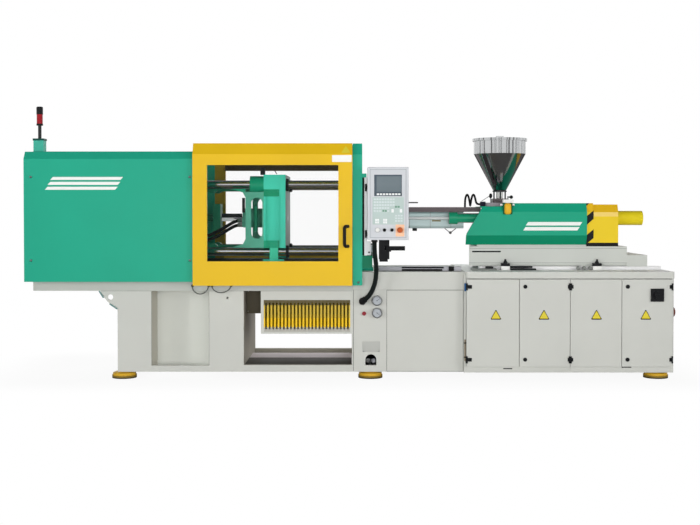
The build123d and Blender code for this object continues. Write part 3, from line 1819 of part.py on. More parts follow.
# Barrel with its nozzle, heater bands and feed block
with BuildPart() as barrel:
    rod_x((barrel_left, barrel_right), 0, axis_height, barrel_radius)
    nozzle_left = nozzle_tip_x + nozzle_cone
    rod_x((nozzle_left, barrel_left + 1), 0, axis_height, nozzle_radius)
    with BuildSketch(Plane.XZ) as cone:
        with BuildLine():
            Polyline(
                (nozzle_tip_x, axis_height),
                (nozzle_tip_x, axis_height + nozzle_tip_radius),
                (nozzle_left, axis_height + nozzle_radius),
                (nozzle_left, axis_height),
                close=True,
            )
        make_face()
    revolve(cone.sketch, axis=machine_axis)
    for band in range(heater_band_count):
        band_left = heater_band_first_x + band * heater_band_pitch
        band_x = (band_left, band_left + heater_band_width)
        rod_x(band_x, 0, axis_height, heater_band_radius)
    block(
        (feed_block_left, feed_block_right),
        mirrored(feed_block_half_width),
        (feed_block_bottom, feed_block_top),
    )
    block(
        (barrel_right - drive_support_thickness, barrel_right),
        mirrored(drive_half_width / 2),
        (sled_top, axis_height),
    )
    rod_x(
        (screw_left - 2, barrel_right),
        0,
        axis_height,
        barrel_bore_radius + running_fit,
        Mode.SUBTRACT,
    )
    rod_x((nozzle_tip_x, screw_left), 0, axis_height, nozzle_bore_radius, Mode.SUBTRACT)
    rod_z(hopper_x, 0, (axis_height, feed_block_top), feed_bore_radius, Mode.SUBTRACT)
save(barrel, "barrel")

# Screw: a core with a row of rings in place of its helical flight, then a plain shank
with BuildPart() as screw:
    core_radius = barrel_bore_radius - screw_flight_depth
    rod_x((screw_left + 1, barrel_right - 1), 0, axis_height, core_radius)
    rod_x((barrel_right - 2, screw_shank_right), 0, axis_height, screw_shank_radius)
    flight_turns = int((barrel_right - screw_left) / screw_flight_pitch) - 1
    for turn in range(flight_turns):
        flight_x = screw_left + (turn + 0.5) * screw_flight_pitch
        rod_x((flight_x, flight_x + screw_flight_width), 0, axis_height, barrel_bore_radius)
save(screw, "screw")

# Drive: crosshead with bearings on the guides, and the hydraulic motor
with BuildPart() as screw_drive:
    block(
        (drive_left, drive_right),
        mirrored(drive_half_width),
        (axis_height - drive_half_height, axis_height + drive_half_height),
    )
    for guide_y in mirrored(drive_guide_y):
        rod_x(
            (drive_left, drive_right),
            guide_y,
            axis_height,
            drive_guide_radius + running_fit,
            Mode.SUBTRACT,
        )
    rod_x((drive_right - 1, drive_motor_right), 0, axis_height, drive_motor_radius)
    rod_x(
        (drive_left, screw_shank_right + 1),
        0,
        axis_height,
        screw_shank_radius + running_fit,
        Mode.SUBTRACT,
    )
save(screw_drive, "screw_drive")

# Polished cover over the barrel with the cable duct on top
with BuildPart() as barrel_cover:
    with BuildSketch(Plane.YZ.offset(barrel_cover_left)) as cover_section:
        with Locations((0, middle((barrel_cover_bottom, barrel_cover_top)))):
            RectangleRounded(
                2 * barrel_cover_half_width,
                barrel_cover_top - barrel_cover_bottom,
                barrel_cover_round,
            )
            RectangleRounded(
                2 * barrel_cover_half_width - 2 * sheet,
                barrel_cover_top - barrel_cover_bottom - 2 * sheet,
                barrel_cover_round - sheet,
                mode=Mode.SUBTRACT,
            )
    extrude(cover_section.sketch, amount=barrel_cover_right - barrel_cover_left)
    inner_half = barrel_cover_half_width - sheet
    inner_z = (barrel_cover_bottom + sheet, barrel_cover_top - sheet)
    for ring_x in (barrel_cover_left, barrel_cover_right - sheet):
        ring = (ring_x, ring_x + sheet)
        ring_half = inner_half - barrel_cover_round / 2
        block(ring, mirrored(ring_half), (inner_z[0] - 1, inner_z[1] + 1))
        block(ring, mirrored(inner_half + 1), (inner_z[0] + 12, inner_z[1] - 12))
        rod_x(ring, 0, axis_height, barrel_radius, Mode.SUBTRACT)
    block(
        (barrel_cover_left, duct_right),
        (duct_outer_y, duct_inner_y),
        (barrel_cover_top - 1, duct_top),
    )
    block(
        (barrel_cover_right, duct_right),
        (duct_outer_y, duct_inner_y),
        (barrel_cover_top - 2, barrel_cover_top),
        Mode.SUBTRACT,
    )
save(barrel_cover, "barrel_cover")


def housing_section(inset):
    """The housing's section in Y and Z, inset for its inner face."""
    return [
        (-housing_foot_half_width + inset, housing_bottom),
        (-housing_half_width + inset, housing_shoulder_low),
        (-housing_half_width + inset, housing_shoulder_high),
        (-housing_top_half_width + inset, housing_top - inset),
        (housing_top_half_width - inset, housing_top - inset),
        (housing_half_width - inset, housing_shoulder_high),
        (housing_half_width - inset, housing_shoulder_low),
        (housing_foot_half_width - inset, housing_bottom),
    ]


# Housing over the drive: folded sheet, cut back in front and under the hopper
with BuildPart() as injection_housing:
    end_plate(housing_section(0), (housing_left, housing_right))
    hollow = (housing_left - 1, housing_right + 1)
    end_plate(housing_section(sheet), hollow, Mode.SUBTRACT)
    wide = mirrored(housing_half_width + sheet)
    side_plate(
        [
            (housing_left, housing_shoulder_low),
            (housing_left, housing_top),
            (housing_notch_right, housing_top),
            (housing_notch_right, housing_notch_top),
            (housing_slant_x, housing_notch_top),
        ],
        wide,
        Mode.SUBTRACT,
    )
    # The rear wall starts further back than the front wall
    rear_wall_x = housing_left + housing_rear_set_back
    side_plate(
        [
            (housing_left - 1, housing_bottom - 1),
            (rear_wall_x, housing_bottom - 1),
            (rear_wall_x, housing_shoulder_low),
            (housing_slant_x + housing_rear_set_back, housing_notch_top + 1),
            (housing_left - 1, housing_notch_top + 1),
        ],
        (1, housing_half_width + sheet),
        Mode.SUBTRACT,
    )
    # Deck under the hopper with a hole for the feed, and the plug's seat
    block(
        (housing_slant_x, housing_notch_right + sheet),
        mirrored(housing_top_half_width),
        (housing_notch_top - sheet, housing_notch_top),
    )
    rod_z(
        hopper_x,
        0,
        (housing_notch_top - sheet * 2, housing_notch_top + sheet),
        feed_bore_radius + 10,
        Mode.SUBTRACT,
    )
    side_plate(
        [
            (housing_notch_right, housing_notch_top - sheet),
            (housing_notch_right + sheet, housing_notch_top - sheet),
            (housing_notch_right + sheet, housing_top - sheet / 2),
            (housing_notch_right, housing_top - sheet / 2),
        ],
        mirrored(housing_top_half_width - sheet),
    )
    block(
        (plug_left, plug_right),
        (plug_y - plug_half_width, plug_y + plug_half_width),
        (plug_bottom, plug_top),
    )
save(injection_housing, "injection_housing")


def guard_section(half_width, top_half_width, shoulder, top, inset):
    """A section in Y and Z with sloped upper corners, inset for its inner face."""
    return [
        (-half_width + inset, rear_guard_bottom),
        (-half_width + inset, shoulder),
        (-top_half_width + inset, top - inset),
        (top_half_width - inset, top - inset),
        (half_width - inset, shoulder),
        (half_width - inset, rear_guard_bottom),
    ]


# Rear guard: edge band as wide as the housing, box over the drive, round motor guard
band_sizes = (
    rear_guard_half_width + sheet,
    housing_top_half_width,
    housing_shoulder_high,
    housing_top,
)
box_sizes = (
    rear_guard_half_width,
    rear_guard_top_half_width,
    rear_guard_shoulder,
    rear_guard_top,
)
with BuildPart() as rear_guard:
    end_plate(guard_section(*band_sizes, 0), (housing_right, edge_band_right))
    end_plate(guard_section(*box_sizes, 0), (edge_band_right - 1, rear_guard_right))
    band_hollow = (housing_right - 1, edge_band_right - sheet)
    end_plate(guard_section(*band_sizes, sheet), band_hollow, Mode.SUBTRACT)
    box_hollow = (edge_band_right - sheet - 1, rear_guard_right - sheet)
    end_plate(guard_section(*box_sizes, sheet), box_hollow, Mode.SUBTRACT)
    motor_guard_x = (rear_guard_right - 1, motor_guard_right)
    rod_x(motor_guard_x, 0, axis_height, motor_guard_radius)
    inside = (rear_guard_right - sheet - 1, motor_guard_right - sheet)
    rod_x(inside, 0, axis_height, motor_guard_radius - sheet, Mode.SUBTRACT)
save(rear_guard, "rear_guard")

# Cylinders that pull the injection unit to the fixed platen, and their rods
with BuildPart() as carriage_cylinders:
    for cylinder_y in mirrored(carriage_cylinder_y):
        body = (carriage_cylinder_left, carriage_cylinder_right)
        rod_x(body, cylinder_y, axis_height, carriage_cylinder_radius)
        flange = (carriage_cylinder_left, carriage_flange_right)
        rod_x(flange, cylinder_y, axis_height, carriage_flange_radius)
        inner = (carriage_cylinder_left + sheet * 5, carriage_cylinder_right - sheet * 5)
        rod_x(inner, cylinder_y, axis_height, carriage_bore_radius, Mode.SUBTRACT)
        mouth = (carriage_cylinder_left, carriage_cylinder_left + sheet * 5 + 1)
        gland_bore = carriage_rod_radius + running_fit
        rod_x(mouth, cylinder_y, axis_height, gland_bore, Mode.SUBTRACT)
        block(
            (sled_end_wall_x + sheet * 5, sled_end_wall_x + sheet * 15),
            (cylinder_y - sheet * 5, cylinder_y + sheet * 5),
            (sled_top, axis_height - carriage_cylinder_radius + sheet),
        )
save(carriage_cylinders, "carriage_cylinders")

with BuildPart() as carriage_rods:
    for rod_side in mirrored(carriage_cylinder_y):
        rod_x((fixed_back_x, carriage_rod_right), rod_side, axis_height, carriage_rod_radius)
        rod_x(
            (carriage_rod_right - carriage_piston, carriage_rod_right),
            rod_side,
            axis_height,
            carriage_bore_radius - running_fit,
        )
save(carriage_rods, "carriage_rods")

# Hopper: thin spun cylinder and cone on a flange with the gate and sight glass
with BuildPart() as hopper:
    with BuildSketch(Plane.XZ) as shell_profile:
        with BuildLine():
            Polyline(
                (hopper_radius - hopper_wall, hopper_top),
                (hopper_rim_radius, hopper_top),
                (hopper_rim_radius, hopper_top - hopper_rim_height),
                (hopper_radius, hopper_top - hopper_rim_height),
                (hopper_radius, hopper_shoulder),
                (hopper_neck_radius, hopper_cone_bottom),
                (throat_ring_radius, hopper_cone_bottom),
                (throat_ring_radius, hopper_cone_bottom - throat_ring_height),
                (throat_radius, hopper_cone_bottom - throat_ring_height),
                (throat_radius, hopper_cone_bottom),
                (hopper_neck_radius - hopper_wall, hopper_cone_bottom + hopper_wall),
                (hopper_radius - hopper_wall, hopper_shoulder + hopper_wall),
                close=True,
            )
        make_face()
    with Locations((hopper_x, 0, 0)):
        add(revolve(shell_profile.sketch, axis=Axis.Z, mode=Mode.PRIVATE))
    gate_top = throat_bottom - throat_ring_height
    gate_bottom = gate_top - gate_slot_height
    half_flange = mirrored(gate_flange_half)
    flange_x = (hopper_x - gate_flange_half, hopper_x + gate_flange_half)
    block(flange_x, half_flange, (gate_flange_bottom, throat_bottom))
    for post_side in mirrored(throat_post_offset):
        rod_z(
            hopper_x,
            post_side,
            (throat_bottom - 1, hopper_cone_bottom - throat_ring_height + 1),
            throat_post_radius,
        )
        rod_z(
            hopper_x + post_side,
            0,
            (throat_bottom - 1, hopper_cone_bottom - throat_ring_height + 1),
            throat_post_radius,
        )
    rod_z(hopper_x, 0, (gate_flange_bottom, throat_bottom), throat_radius, Mode.SUBTRACT)
    block(
        (flange_x[0] + sheet, flange_x[1]),
        mirrored(gate_half_width + rest_gap),
        (gate_bottom, gate_top),
        Mode.SUBTRACT,
    )
save(hopper, "hopper")

# Gate plate that slides out under the throat, with its ball lever
with BuildPart() as hopper_gate:
    plate_z = (gate_bottom + rest_gap, gate_bottom + rest_gap + gate_plate)
    gate_left = hopper_x - gate_flange_half + sheet + rest_gap
    block((gate_left, hopper_x + gate_flange_half + sheet), mirrored(gate_half_width), plate_z)
    rod_z(hopper_x, 0, plate_z, throat_radius - 4, Mode.SUBTRACT)
    gate_axis_z = (plate_z[0] + plate_z[1]) / 2
    stem_x = (hopper_x + gate_flange_half + 2, hopper_x + gate_reach)
    block(
        (hopper_x + gate_flange_half + 1, hopper_x + gate_flange_half + 1 + sheet * 2),
        mirrored(gate_rod_radius + 2),
        (plate_z[0], throat_bottom + 20),
    )
    stem_z = throat_bottom + 12
    rod_x(stem_x, 0, stem_z, gate_rod_radius)
    with Locations((hopper_x + gate_reach, 0, stem_z)):
        Sphere(gate_ball_radius)
save(hopper_gate, "hopper_gate")

with BuildPart() as hopper_lid:
    lid_z = (hopper_top + rest_gap, hopper_top + rest_gap + lid_height)
    rod_z(hopper_x, 0, lid_z, hopper_rim_radius)
    knob_y = lid_knob_radius
    knob_top = lid_z[1] + lid_knob_height
    for leg_x in (hopper_x - knob_y, hopper_x + knob_y - lid_knob_bar):
        block((leg_x, leg_x + lid_knob_bar), mirrored(lid_knob_bar), (lid_z[1] - 1, knob_top))
    block(
        (hopper_x - knob_y, hopper_x + knob_y),
        mirrored(lid_knob_bar),
        (knob_top - lid_knob_bar, knob_top),
    )
save(hopper_lid, "hopper_lid")

# Heater cable: one and a half coils standing on the duct, then into the plug
heater_route = [(heater_coil_first_x, heater_coil_y + heater_coil_radius, duct_top)]
for step in range(heater_coil_points):
    coil_angle = radians(90 + 45 * step)
    heater_route.append(
        (
            heater_coil_first_x + heater_coil_step * step,
            heater_coil_y + heater_coil_radius * sin(coil_angle),
            heater_coil_z - heater_coil_radius * cos(coil_angle),
        )
    )
heater_route.append((970, plug_y, 1311))
heater_route.append((982, plug_y, heater_end_z))
heater_route.append((plug_left, plug_y, heater_end_z))
heater_cable = cable(heater_route, heater_cable_radius, "heater_cable")
save(heater_cable, "heater_cable")
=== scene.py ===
# %% [markdown]
# # Injection moulding machine
# The solids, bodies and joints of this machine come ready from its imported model. This
# lesson dresses them: it adds a camera, soft light, paints and metals, and the small
# pieces that a plain solid doesn't show, such as dials, keys, screws, plates and cords.
# Everything is in metres, +X to the injection end, -Y to the operator and +Z up.

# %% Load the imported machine
import math

import bmesh
import bpy
from mathutils import Matrix, Vector


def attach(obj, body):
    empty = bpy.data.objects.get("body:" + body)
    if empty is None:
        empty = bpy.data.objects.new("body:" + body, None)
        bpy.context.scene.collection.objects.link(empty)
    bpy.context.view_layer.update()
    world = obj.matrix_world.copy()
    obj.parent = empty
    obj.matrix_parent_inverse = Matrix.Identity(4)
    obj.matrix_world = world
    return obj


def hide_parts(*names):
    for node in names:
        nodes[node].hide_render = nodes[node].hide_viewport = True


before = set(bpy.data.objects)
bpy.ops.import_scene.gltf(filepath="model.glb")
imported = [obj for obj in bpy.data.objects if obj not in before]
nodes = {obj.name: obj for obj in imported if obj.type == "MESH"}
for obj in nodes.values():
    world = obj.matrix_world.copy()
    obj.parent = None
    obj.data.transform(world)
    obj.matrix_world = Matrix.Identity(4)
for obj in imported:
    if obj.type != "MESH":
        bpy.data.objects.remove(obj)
scene = bpy.context.scene
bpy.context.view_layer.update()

# %% [markdown]
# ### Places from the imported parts
# A new piece has to sit where its carrier is. A typed place is right only until the model
# is packed with another size. So where a piece follows the outer face or the middle of a
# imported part, its place is read from that part's mesh, to a tenth of a millimetre.


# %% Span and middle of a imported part
def span_of(node_name, axis):
    """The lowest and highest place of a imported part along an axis."""
    levels = [vertex.co["xyz".index(axis)] for vertex in nodes[node_name].data.vertices]
    return round(min(levels), 4), round(max(levels), 4)


def middle_of(node_name, axis):
    """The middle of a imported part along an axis."""
    return round(sum(span_of(node_name, axis)) / 2, 4)


print("clamp axis at", middle_of("moving_platen", "z"))

# %% [markdown]
# ## Camera
# The machine is seen square from the operator's side, from 8.6 m away and a little above
# the clamp's axis. Turning the camera down would frame it, but would also make upright
# edges lean. So the tilt is only about one degree, and a small shift does the rest.

# %% Camera
camera_data = bpy.data.cameras.new("camera")
camera_data.sensor_width = 36
camera_data.lens = 56.36
camera_data.shift_y = -0.045
camera = bpy.data.objects.new("camera", camera_data)
camera.location = (0, -8.62, 1.256)
camera.rotation_euler = (math.radians(90 - 1.1), 0, 0)
scene.collection.objects.link(camera)
scene.camera = camera
scene.view_settings.view_transform = "Standard"
print("camera at", tuple(camera.location))

# %% [markdown]
# ## Finishes
# Paint on a machine isn't one flat colour. It clouds a little, has a fine orange peel,
# and its gloss varies where it was touched. An image could show that, but noise on Object
# coordinates needs no file and stays with the piece in every pose. A colour is written as
# the eye sees it, from 0 to 255, and made linear for the shader.


# %% Colours
def srgb(red, green, blue):
    """A colour written from 0 to 255, as the linear value that a shader takes."""
    linear = []
    for level in (red, green, blue):
        share = level / 255
        linear.append(share / 12.92 if share <= 0.04045 else ((share + 0.055) / 1.055) ** 2.4)
    return (*linear, 1.0)


print("a middle grey is", round(srgb(128, 128, 128)[0], 3), "of full light")

# %% [markdown]
# ### Sums and mixes of nodes
# A finish needs dozens of nodes, and each takes three lines to add, set and link. These
# helpers do that in one call and hand back the socket, so that a sum of nodes reads like
# a sum of numbers. An input may be a plain value or another node's socket.


# %% Links, sums and mixes
def feed(tree, socket, value):
    """Sets a socket to a plain value, or links it to another socket."""
    if isinstance(value, (int, float, tuple)):
        socket.default_value = value
    else:
        tree.links.new(value, socket)


def math_node(tree, operation, first, second=0.0):
    """A Math node whose inputs are sockets or numbers."""
    node = tree.nodes.new("ShaderNodeMath")
    node.operation = operation
    feed(tree, node.inputs[0], first)
    feed(tree, node.inputs[1], second)
    return node.outputs[0]


def mix_colour(tree, share, first, second, blend="MIX"):
    """A Mix node for colours, whose inputs are sockets or plain colours."""
    node = tree.nodes.new("ShaderNodeMix")
    node.data_type = "RGBA"
    node.blend_type = blend
    for number, value in ((0, share), (6, first), (7, second)):
        feed(tree, node.inputs[number], value)
    return node.outputs[2]


def blend_number(tree, share, first, second):
    """first where share is 0 and second where it is 1, as a socket."""
    change = second - first if isinstance(first, float) else math_node(tree, "SUBTRACT", second, first)
    return math_node(tree, "ADD", first, math_node(tree, "MULTIPLY", share, change))


# %% [markdown]
# ### Levels, places and noise
# A ramp turns one range of values into another. A place is split into X, Y and Z where a
# finish changes by height or depth. Noise gives the clouds and the grain, and a stretch
# draws it out into the lines that brushed or turned steel has.


# %% Ramps, places and noise
def ramp(tree, value, low, high, start, end, easing="SMOOTHSTEP"):
    """A level that runs from start to end while the value runs from low to high."""
    node = tree.nodes.new("ShaderNodeMapRange")
    node.interpolation_type = easing
    for name, number in (("From Min", low), ("From Max", high), ("To Min", start), ("To Max", end)):
        node.inputs[name].default_value = number
    tree.links.new(value, node.inputs["Value"])
    return node.outputs[0]


def split_place(tree, place):
    """The X, Y and Z sockets of a place or direction."""
    split = tree.nodes.new("ShaderNodeSeparateXYZ")
    tree.links.new(place, split.inputs[0])
    return split.outputs


def noise(tree, place, scale, detail=3.0, stretch=(1, 1, 1)):
    """Noise on the piece's own coordinates, drawn out along an axis where stretch is small."""
    mapping = tree.nodes.new("ShaderNodeMapping")
    mapping.inputs["Scale"].default_value = stretch
    tree.links.new(place, mapping.inputs["Vector"])
    node = tree.nodes.new("ShaderNodeTexNoise")
    node.inputs["Scale"].default_value = scale
    node.inputs["Detail"].default_value = detail
    tree.links.new(mapping.outputs["Vector"], node.inputs["Vector"])
    return node.outputs["Fac"]


# %% [markdown]
# ### Zones
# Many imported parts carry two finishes, such as a gold foot on its black pad. Splitting the
# mesh isn't allowed, so a list of zones repaints the part by place. Each test of a zone
# compares X, Y or Z with a number, and the zone is where all of its tests hold.


# %% Zones
def zone_mask(tree, place, tests):
    """1 where every test holds, such as "z > 1.03" or "|y| > 0.62 and x < 0.1"."""
    levels = split_place(tree, place)
    mask = None
    for test in tests.split(" and "):
        axis, sign, value = test.split()
        level = levels["xyz".index(axis.strip("|"))]
        if "|" in axis:
            level = math_node(tree, "ABSOLUTE", level)
        step = math_node(tree, "GREATER_THAN" if sign == ">" else "LESS_THAN", level, float(value))
        mask = step if mask is None else math_node(tree, "MULTIPLY", mask, step)
    return mask


# %% [markdown]
# ### One helper for every finish
# A Principled surface gets its colour, roughness and relief from two noises, a wide one
# for clouds and a fine one for grain. One helper builds every paint, metal and plastic,
# so they differ only in their numbers. A zone is paint unless it ends with a metallic
# level.


# %% The finish helper
def finish(name, colour, roughness=0.4, metallic=0.0, mottle=0.06, grain=220.0, bump=0.12,
           stretch=(1, 1, 1), zones=(), stripes=None, alpha=1.0, specular=0.25, cloud_scale=2.2):
    """A paint, metal or plastic with clouding, uneven gloss and a fine relief."""
    material = bpy.data.materials.new(name)
    material.use_nodes = True
    tree = material.node_tree
    surface = tree.nodes["Principled BSDF"]
    place = tree.nodes.new("ShaderNodeTexCoord").outputs["Object"]
    tone, gloss, metal = colour, roughness, metallic
    for tests, zone_colour, zone_roughness, *metal_level in zones:
        zone_metallic = metal_level[0] if metal_level else 0.0
        mask = zone_mask(tree, place, tests)
        tone = mix_colour(tree, mask, tone, zone_colour)
        gloss = blend_number(tree, mask, gloss, zone_roughness)
        if zone_metallic != metallic or not isinstance(metal, float):
            metal = blend_number(tree, mask, metal, zone_metallic)
    if stripes is not None:
        tone = stripes(tree, place, tone)
    cloud = noise(tree, place, cloud_scale, 5.0, stretch)
    shade = ramp(tree, cloud, 0.3, 0.7, 1 - mottle, 1.0, "LINEAR")
    feed(tree, surface.inputs["Base Color"], mix_colour(tree, 1.0, tone, shade, "MULTIPLY"))
    uneven = math_node(tree, "MULTIPLY", math_node(tree, "SUBTRACT", cloud, 0.5), 0.2)
    feed(tree, surface.inputs["Roughness"], math_node(tree, "ADD", gloss, uneven))
    feed(tree, surface.inputs["Metallic"], metal)
    relief = tree.nodes.new("ShaderNodeBump")
    relief.inputs["Strength"].default_value = bump
    relief.inputs["Distance"].default_value = 0.0006
    feed(tree, relief.inputs["Height"], noise(tree, place, grain, 2.0, stretch))
    feed(tree, surface.inputs["Normal"], relief.outputs["Normal"])
    surface.inputs["Alpha"].default_value = alpha
    surface.inputs["Specular IOR Level"].default_value = 0.5 if metallic else specular
    return material


# %% [markdown]
# ### Colours of this machine
# The machine has teal covers, a light grey bed, a pale panel, black fittings and bare
# steel. A colour could be typed wherever it is needed, but then parts of one paint drift
# apart. So the finishes that CAD nodes and new pieces share are set once, here.

# %% Paints, metals, plastics
TEAL = srgb(34, 164, 134)
BED_GREY = srgb(198, 199, 193)
PALE = srgb(209, 212, 213)
BLACK = srgb(26, 27, 29)
WHITE = srgb(238, 238, 235)
STEEL = srgb(170, 172, 172)

teal_paint = finish("teal_enamel", TEAL, 0.36)
# A darker copy of the teal is painted shade, for the links, crosshead, tail platen and clamp cylinder that
# sit deep in the clamp.
teal_painted_shade = finish("clamp_enamel_painted_shade", srgb(16, 112, 82), 0.45)
grey_paint = finish("bed_enamel", BED_GREY, 0.42, mottle=0.05)
pale_paint = finish("panel_enamel", PALE, 0.42, mottle=0.04)
black_paint = finish("black_enamel", BLACK, 0.4)
black_plastic = finish("black_moulding", srgb(22, 22, 24), 0.5, grain=500)
white_plate = finish("white_plate", WHITE, 0.45, mottle=0.03)
sign_yellow = finish("sign_yellow", srgb(218, 200, 60), 0.4, mottle=0.03)
red_cap = finish("red_moulding", srgb(184, 82, 24), 0.3, grain=400)
push_red = finish("push_red", srgb(140, 44, 54), 0.35, grain=400)
bar_chrome = finish("bar_chrome", srgb(226, 228, 232), 0.14, 1.0, 0.08, 60, 0.03, (0.05, 1, 1))
turned_steel = finish("turned_steel", STEEL, 0.32, 1.0, 0.12, 240, 0.15, (0.1, 1, 1))
zinc = finish("zinc_plate", srgb(176, 178, 178), 0.36, 1.0, 0.15)
rubber = finish("black_rubber", srgb(24, 24, 26), 0.6, grain=350, bump=0.2)
print("finishes", len(bpy.data.materials))

# %% [markdown]
# ## Cords
# Each cord repeats its route from the CAD as control points of one open NURBS spline of
# order 3 that keeps its end points. A curve with a bevel then gives the smooth round
# hose.


# %% Cord helper
def route_curve(name, points, radius):
    """An open NURBS spline of order 3 through the route, as thick as the cord."""
    data = bpy.data.curves.new(name, "CURVE")
    data.dimensions = "3D"
    spline = data.splines.new("NURBS")
    spline.points.add(len(points) - 1)
    for point, place in zip(spline.points, points):
        point.co = (*place, 1.0)
    spline.order_u = 3
    spline.use_endpoint_u = True
    spline.resolution_u = 12
    data.bevel_depth = radius
    data.bevel_resolution = 5
    data.use_fill_caps = True
    curve = bpy.data.objects.new(name, data)
    scene.collection.objects.link(curve)
    return curve


def lay_cord(name, points, radius, material, body, node, length, **facts):
    """A cord along its route, in place of its CAD node."""
    cord = route_curve(name, points, radius)
    cord.data.materials.append(material)
    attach(cord, body)
    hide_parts(node)
    print(name, "length", length)


# %% [markdown]
# ### Hoses of the clamp
# Two thick rubber hoses bring oil from the tail platen to the manifold on the moving
# platen. One runs under the other, so one route serves both and the lower hose is the
# same line set down by the gap. They ride the moving platen.

# %% Two hydraulic hoses of the clamp
HOSE_RADIUS = 0.013
HOSE_Y = -0.092
HOSE_DROPS = (0.0, 0.034)
hose_line = [(-0.838, 1.174), (-0.88, 1.174), (-0.94, 1.142), (-1.0, 1.104), (-1.065, 1.07),
             (-1.13, 1.047), (-1.205, 1.031), (-1.285, 1.008), (-1.35, 0.979), (-1.397, 0.962),
             (-1.44, 0.962)]
hose_rubber = finish("hose_rubber", srgb(20, 20, 22), 0.5, grain=260, bump=0.25)
for number, drop in enumerate(HOSE_DROPS, start=1):
    hose_points = [(x, HOSE_Y, z - drop) for x, z in hose_line]
    lay_cord(f"clamp_hose_{number}", hose_points, HOSE_RADIUS, hose_rubber, "moving_assembly",
             "clamp_hoses", 0.64, stiffness="stiff", lay="hanging")

# %% [markdown]
# ### Cable loops
# Two thin cables leave the front of the table, sag in a loop and go back in. A chain of
# straight pieces would show its corners, so each loop is a spline of its own. Its first
# and last two points lie in line, which lets it meet the sheet squarely.

# %% Two loops of small cable under the table
loop_routes = {
    "loop_cable_left": [(-1.168, -0.5, 0.694), (-1.168, -0.511, 0.694), (-1.167, -0.519, 0.686),
                        (-1.162, -0.523, 0.664), (-1.138, -0.523, 0.64), (-1.108, -0.523, 0.632),
                        (-1.078, -0.523, 0.641), (-1.055, -0.523, 0.664), (-1.05, -0.519, 0.686),
                        (-1.049, -0.511, 0.694), (-1.049, -0.5, 0.694)],
    "loop_cable_right": [(-1.024, -0.5, 0.696), (-1.024, -0.511, 0.696), (-1.022, -0.519, 0.689),
                         (-1.013, -0.523, 0.668), (-0.988, -0.523, 0.649), (-0.953, -0.523, 0.642),
                         (-0.918, -0.523, 0.65), (-0.892, -0.523, 0.668), (-0.883, -0.519, 0.689),
                         (-0.881, -0.511, 0.696), (-0.881, -0.5, 0.696)],
}
cable_grey = finish("cable_grey", srgb(92, 94, 92), 0.5, grain=400)
for loop_name, loop_points in loop_routes.items():
    lay_cord(loop_name, loop_points, 0.004, cable_grey, "machine", "loop_cables", 0.21,
             stiffness="medium", lay="hanging")

# %% [markdown]
# ### Heater cable
# The heaters of the barrel get their current by a stiff black cable. It stands on the
# duct in one and a half coils and then dips into its plug. A loop works out the coils at
# eight points a turn, each a little further along, and the last points are listed.

# %% Heater cable: a standing coil on the duct, then down into its plug
COIL_X, COIL_Y, COIL_Z, COIL_RADIUS = 0.893, -0.15, 1.332, 0.045
COIL_STEPS, COIL_ADVANCE = 13, 0.006
heater_points = [(COIL_X, -0.105, 1.278)]
for step in range(COIL_STEPS):
    turn = math.radians(90 + 45 * step)
    heater_points.append((COIL_X + COIL_ADVANCE * step, COIL_Y + COIL_RADIUS * math.sin(turn),
                          COIL_Z - COIL_RADIUS * math.cos(turn)))
heater_points += [(0.97, -0.195, 1.311), (0.982, -0.195, 1.3), (1.0, -0.195, 1.3)]
lay_cord("heater_cord", heater_points, 0.008, rubber, "carriage", "heater_cable", 0.5,
         stiffness="medium", lay="loose")

# %% [markdown]
# ### Corrugated conduit
# The conduit from the panel's swivel to the bed is a plastic hose with rings all along.
# A plain bevel can't show them. So a short profile with one ring is spun round an axis,
# repeated, and the straight hose is then carried onto the line of its NURBS route.

# %% Route of the conduit, and the way to carry a shape onto it
conduit_points = [(0.179, -0.6, 1.02), (0.179, -0.6, 0.95), (0.189, -0.604, 0.88),
                  (0.194, -0.603, 0.805), (0.186, -0.595, 0.73), (0.166, -0.58, 0.668),
                  (0.14, -0.562, 0.622), (0.1125, -0.5455, 0.598)]
SIDEWAYS = Vector((0, -0.4, 0.1))


def route_line(points, name):
    """The points of the smooth line that a NURBS spline draws through its route."""
    curve = route_curve(name, points, 0)
    curve.data.use_fill_caps = False
    bpy.context.view_layer.update()
    line_mesh = bpy.data.meshes.new_from_object(curve)
    line = [vertex.co.copy() for vertex in line_mesh.vertices]
    bpy.data.objects.remove(curve)
    bpy.data.meshes.remove(line_mesh)
    return line


def carry_onto(shape, line):
    """Moves each vertex from the straight Z axis to the same distance along the line."""
    reach = [0.0]
    for before, after in zip(line, line[1:]):
        reach.append(reach[-1] + (after - before).length)
    for vertex in shape.verts:
        along = min(max(vertex.co.z, 0.0), reach[-1] - 1e-6)
        index = max(i for i, level in enumerate(reach[:-1]) if level <= along)
        start, end = line[index], line[index + 1]
        share = (along - reach[index]) / (reach[index + 1] - reach[index])
        ahead = line[min(index + 2, len(line) - 1)] - start
        behind = end - line[max(index - 1, 0)]
        heading = behind.normalized().lerp(ahead.normalized(), share).normalized()
        side = heading.cross(SIDEWAYS.cross(heading).normalized())
        up = heading.cross(side)
        vertex.co = start.lerp(end, share) + side.normalized() * vertex.co.x + up.normalized() * vertex.co.y
    return reach[-1]


conduit_line = route_line(conduit_points, "conduit_route")
conduit_length = sum((b - a).length for a, b in zip(conduit_line, conduit_line[1:]))
print("conduit line points", len(conduit_line))

# %% [markdown]
# ### Rings of the conduit
# One ring is a groove, a rise and a flat crest. The profile repeats it from end to end,
# so that one spin makes the whole wall. Both ends are closed before the hose is bent, and
# the normals are set right afterwards, because a spin can turn a shape inside out.

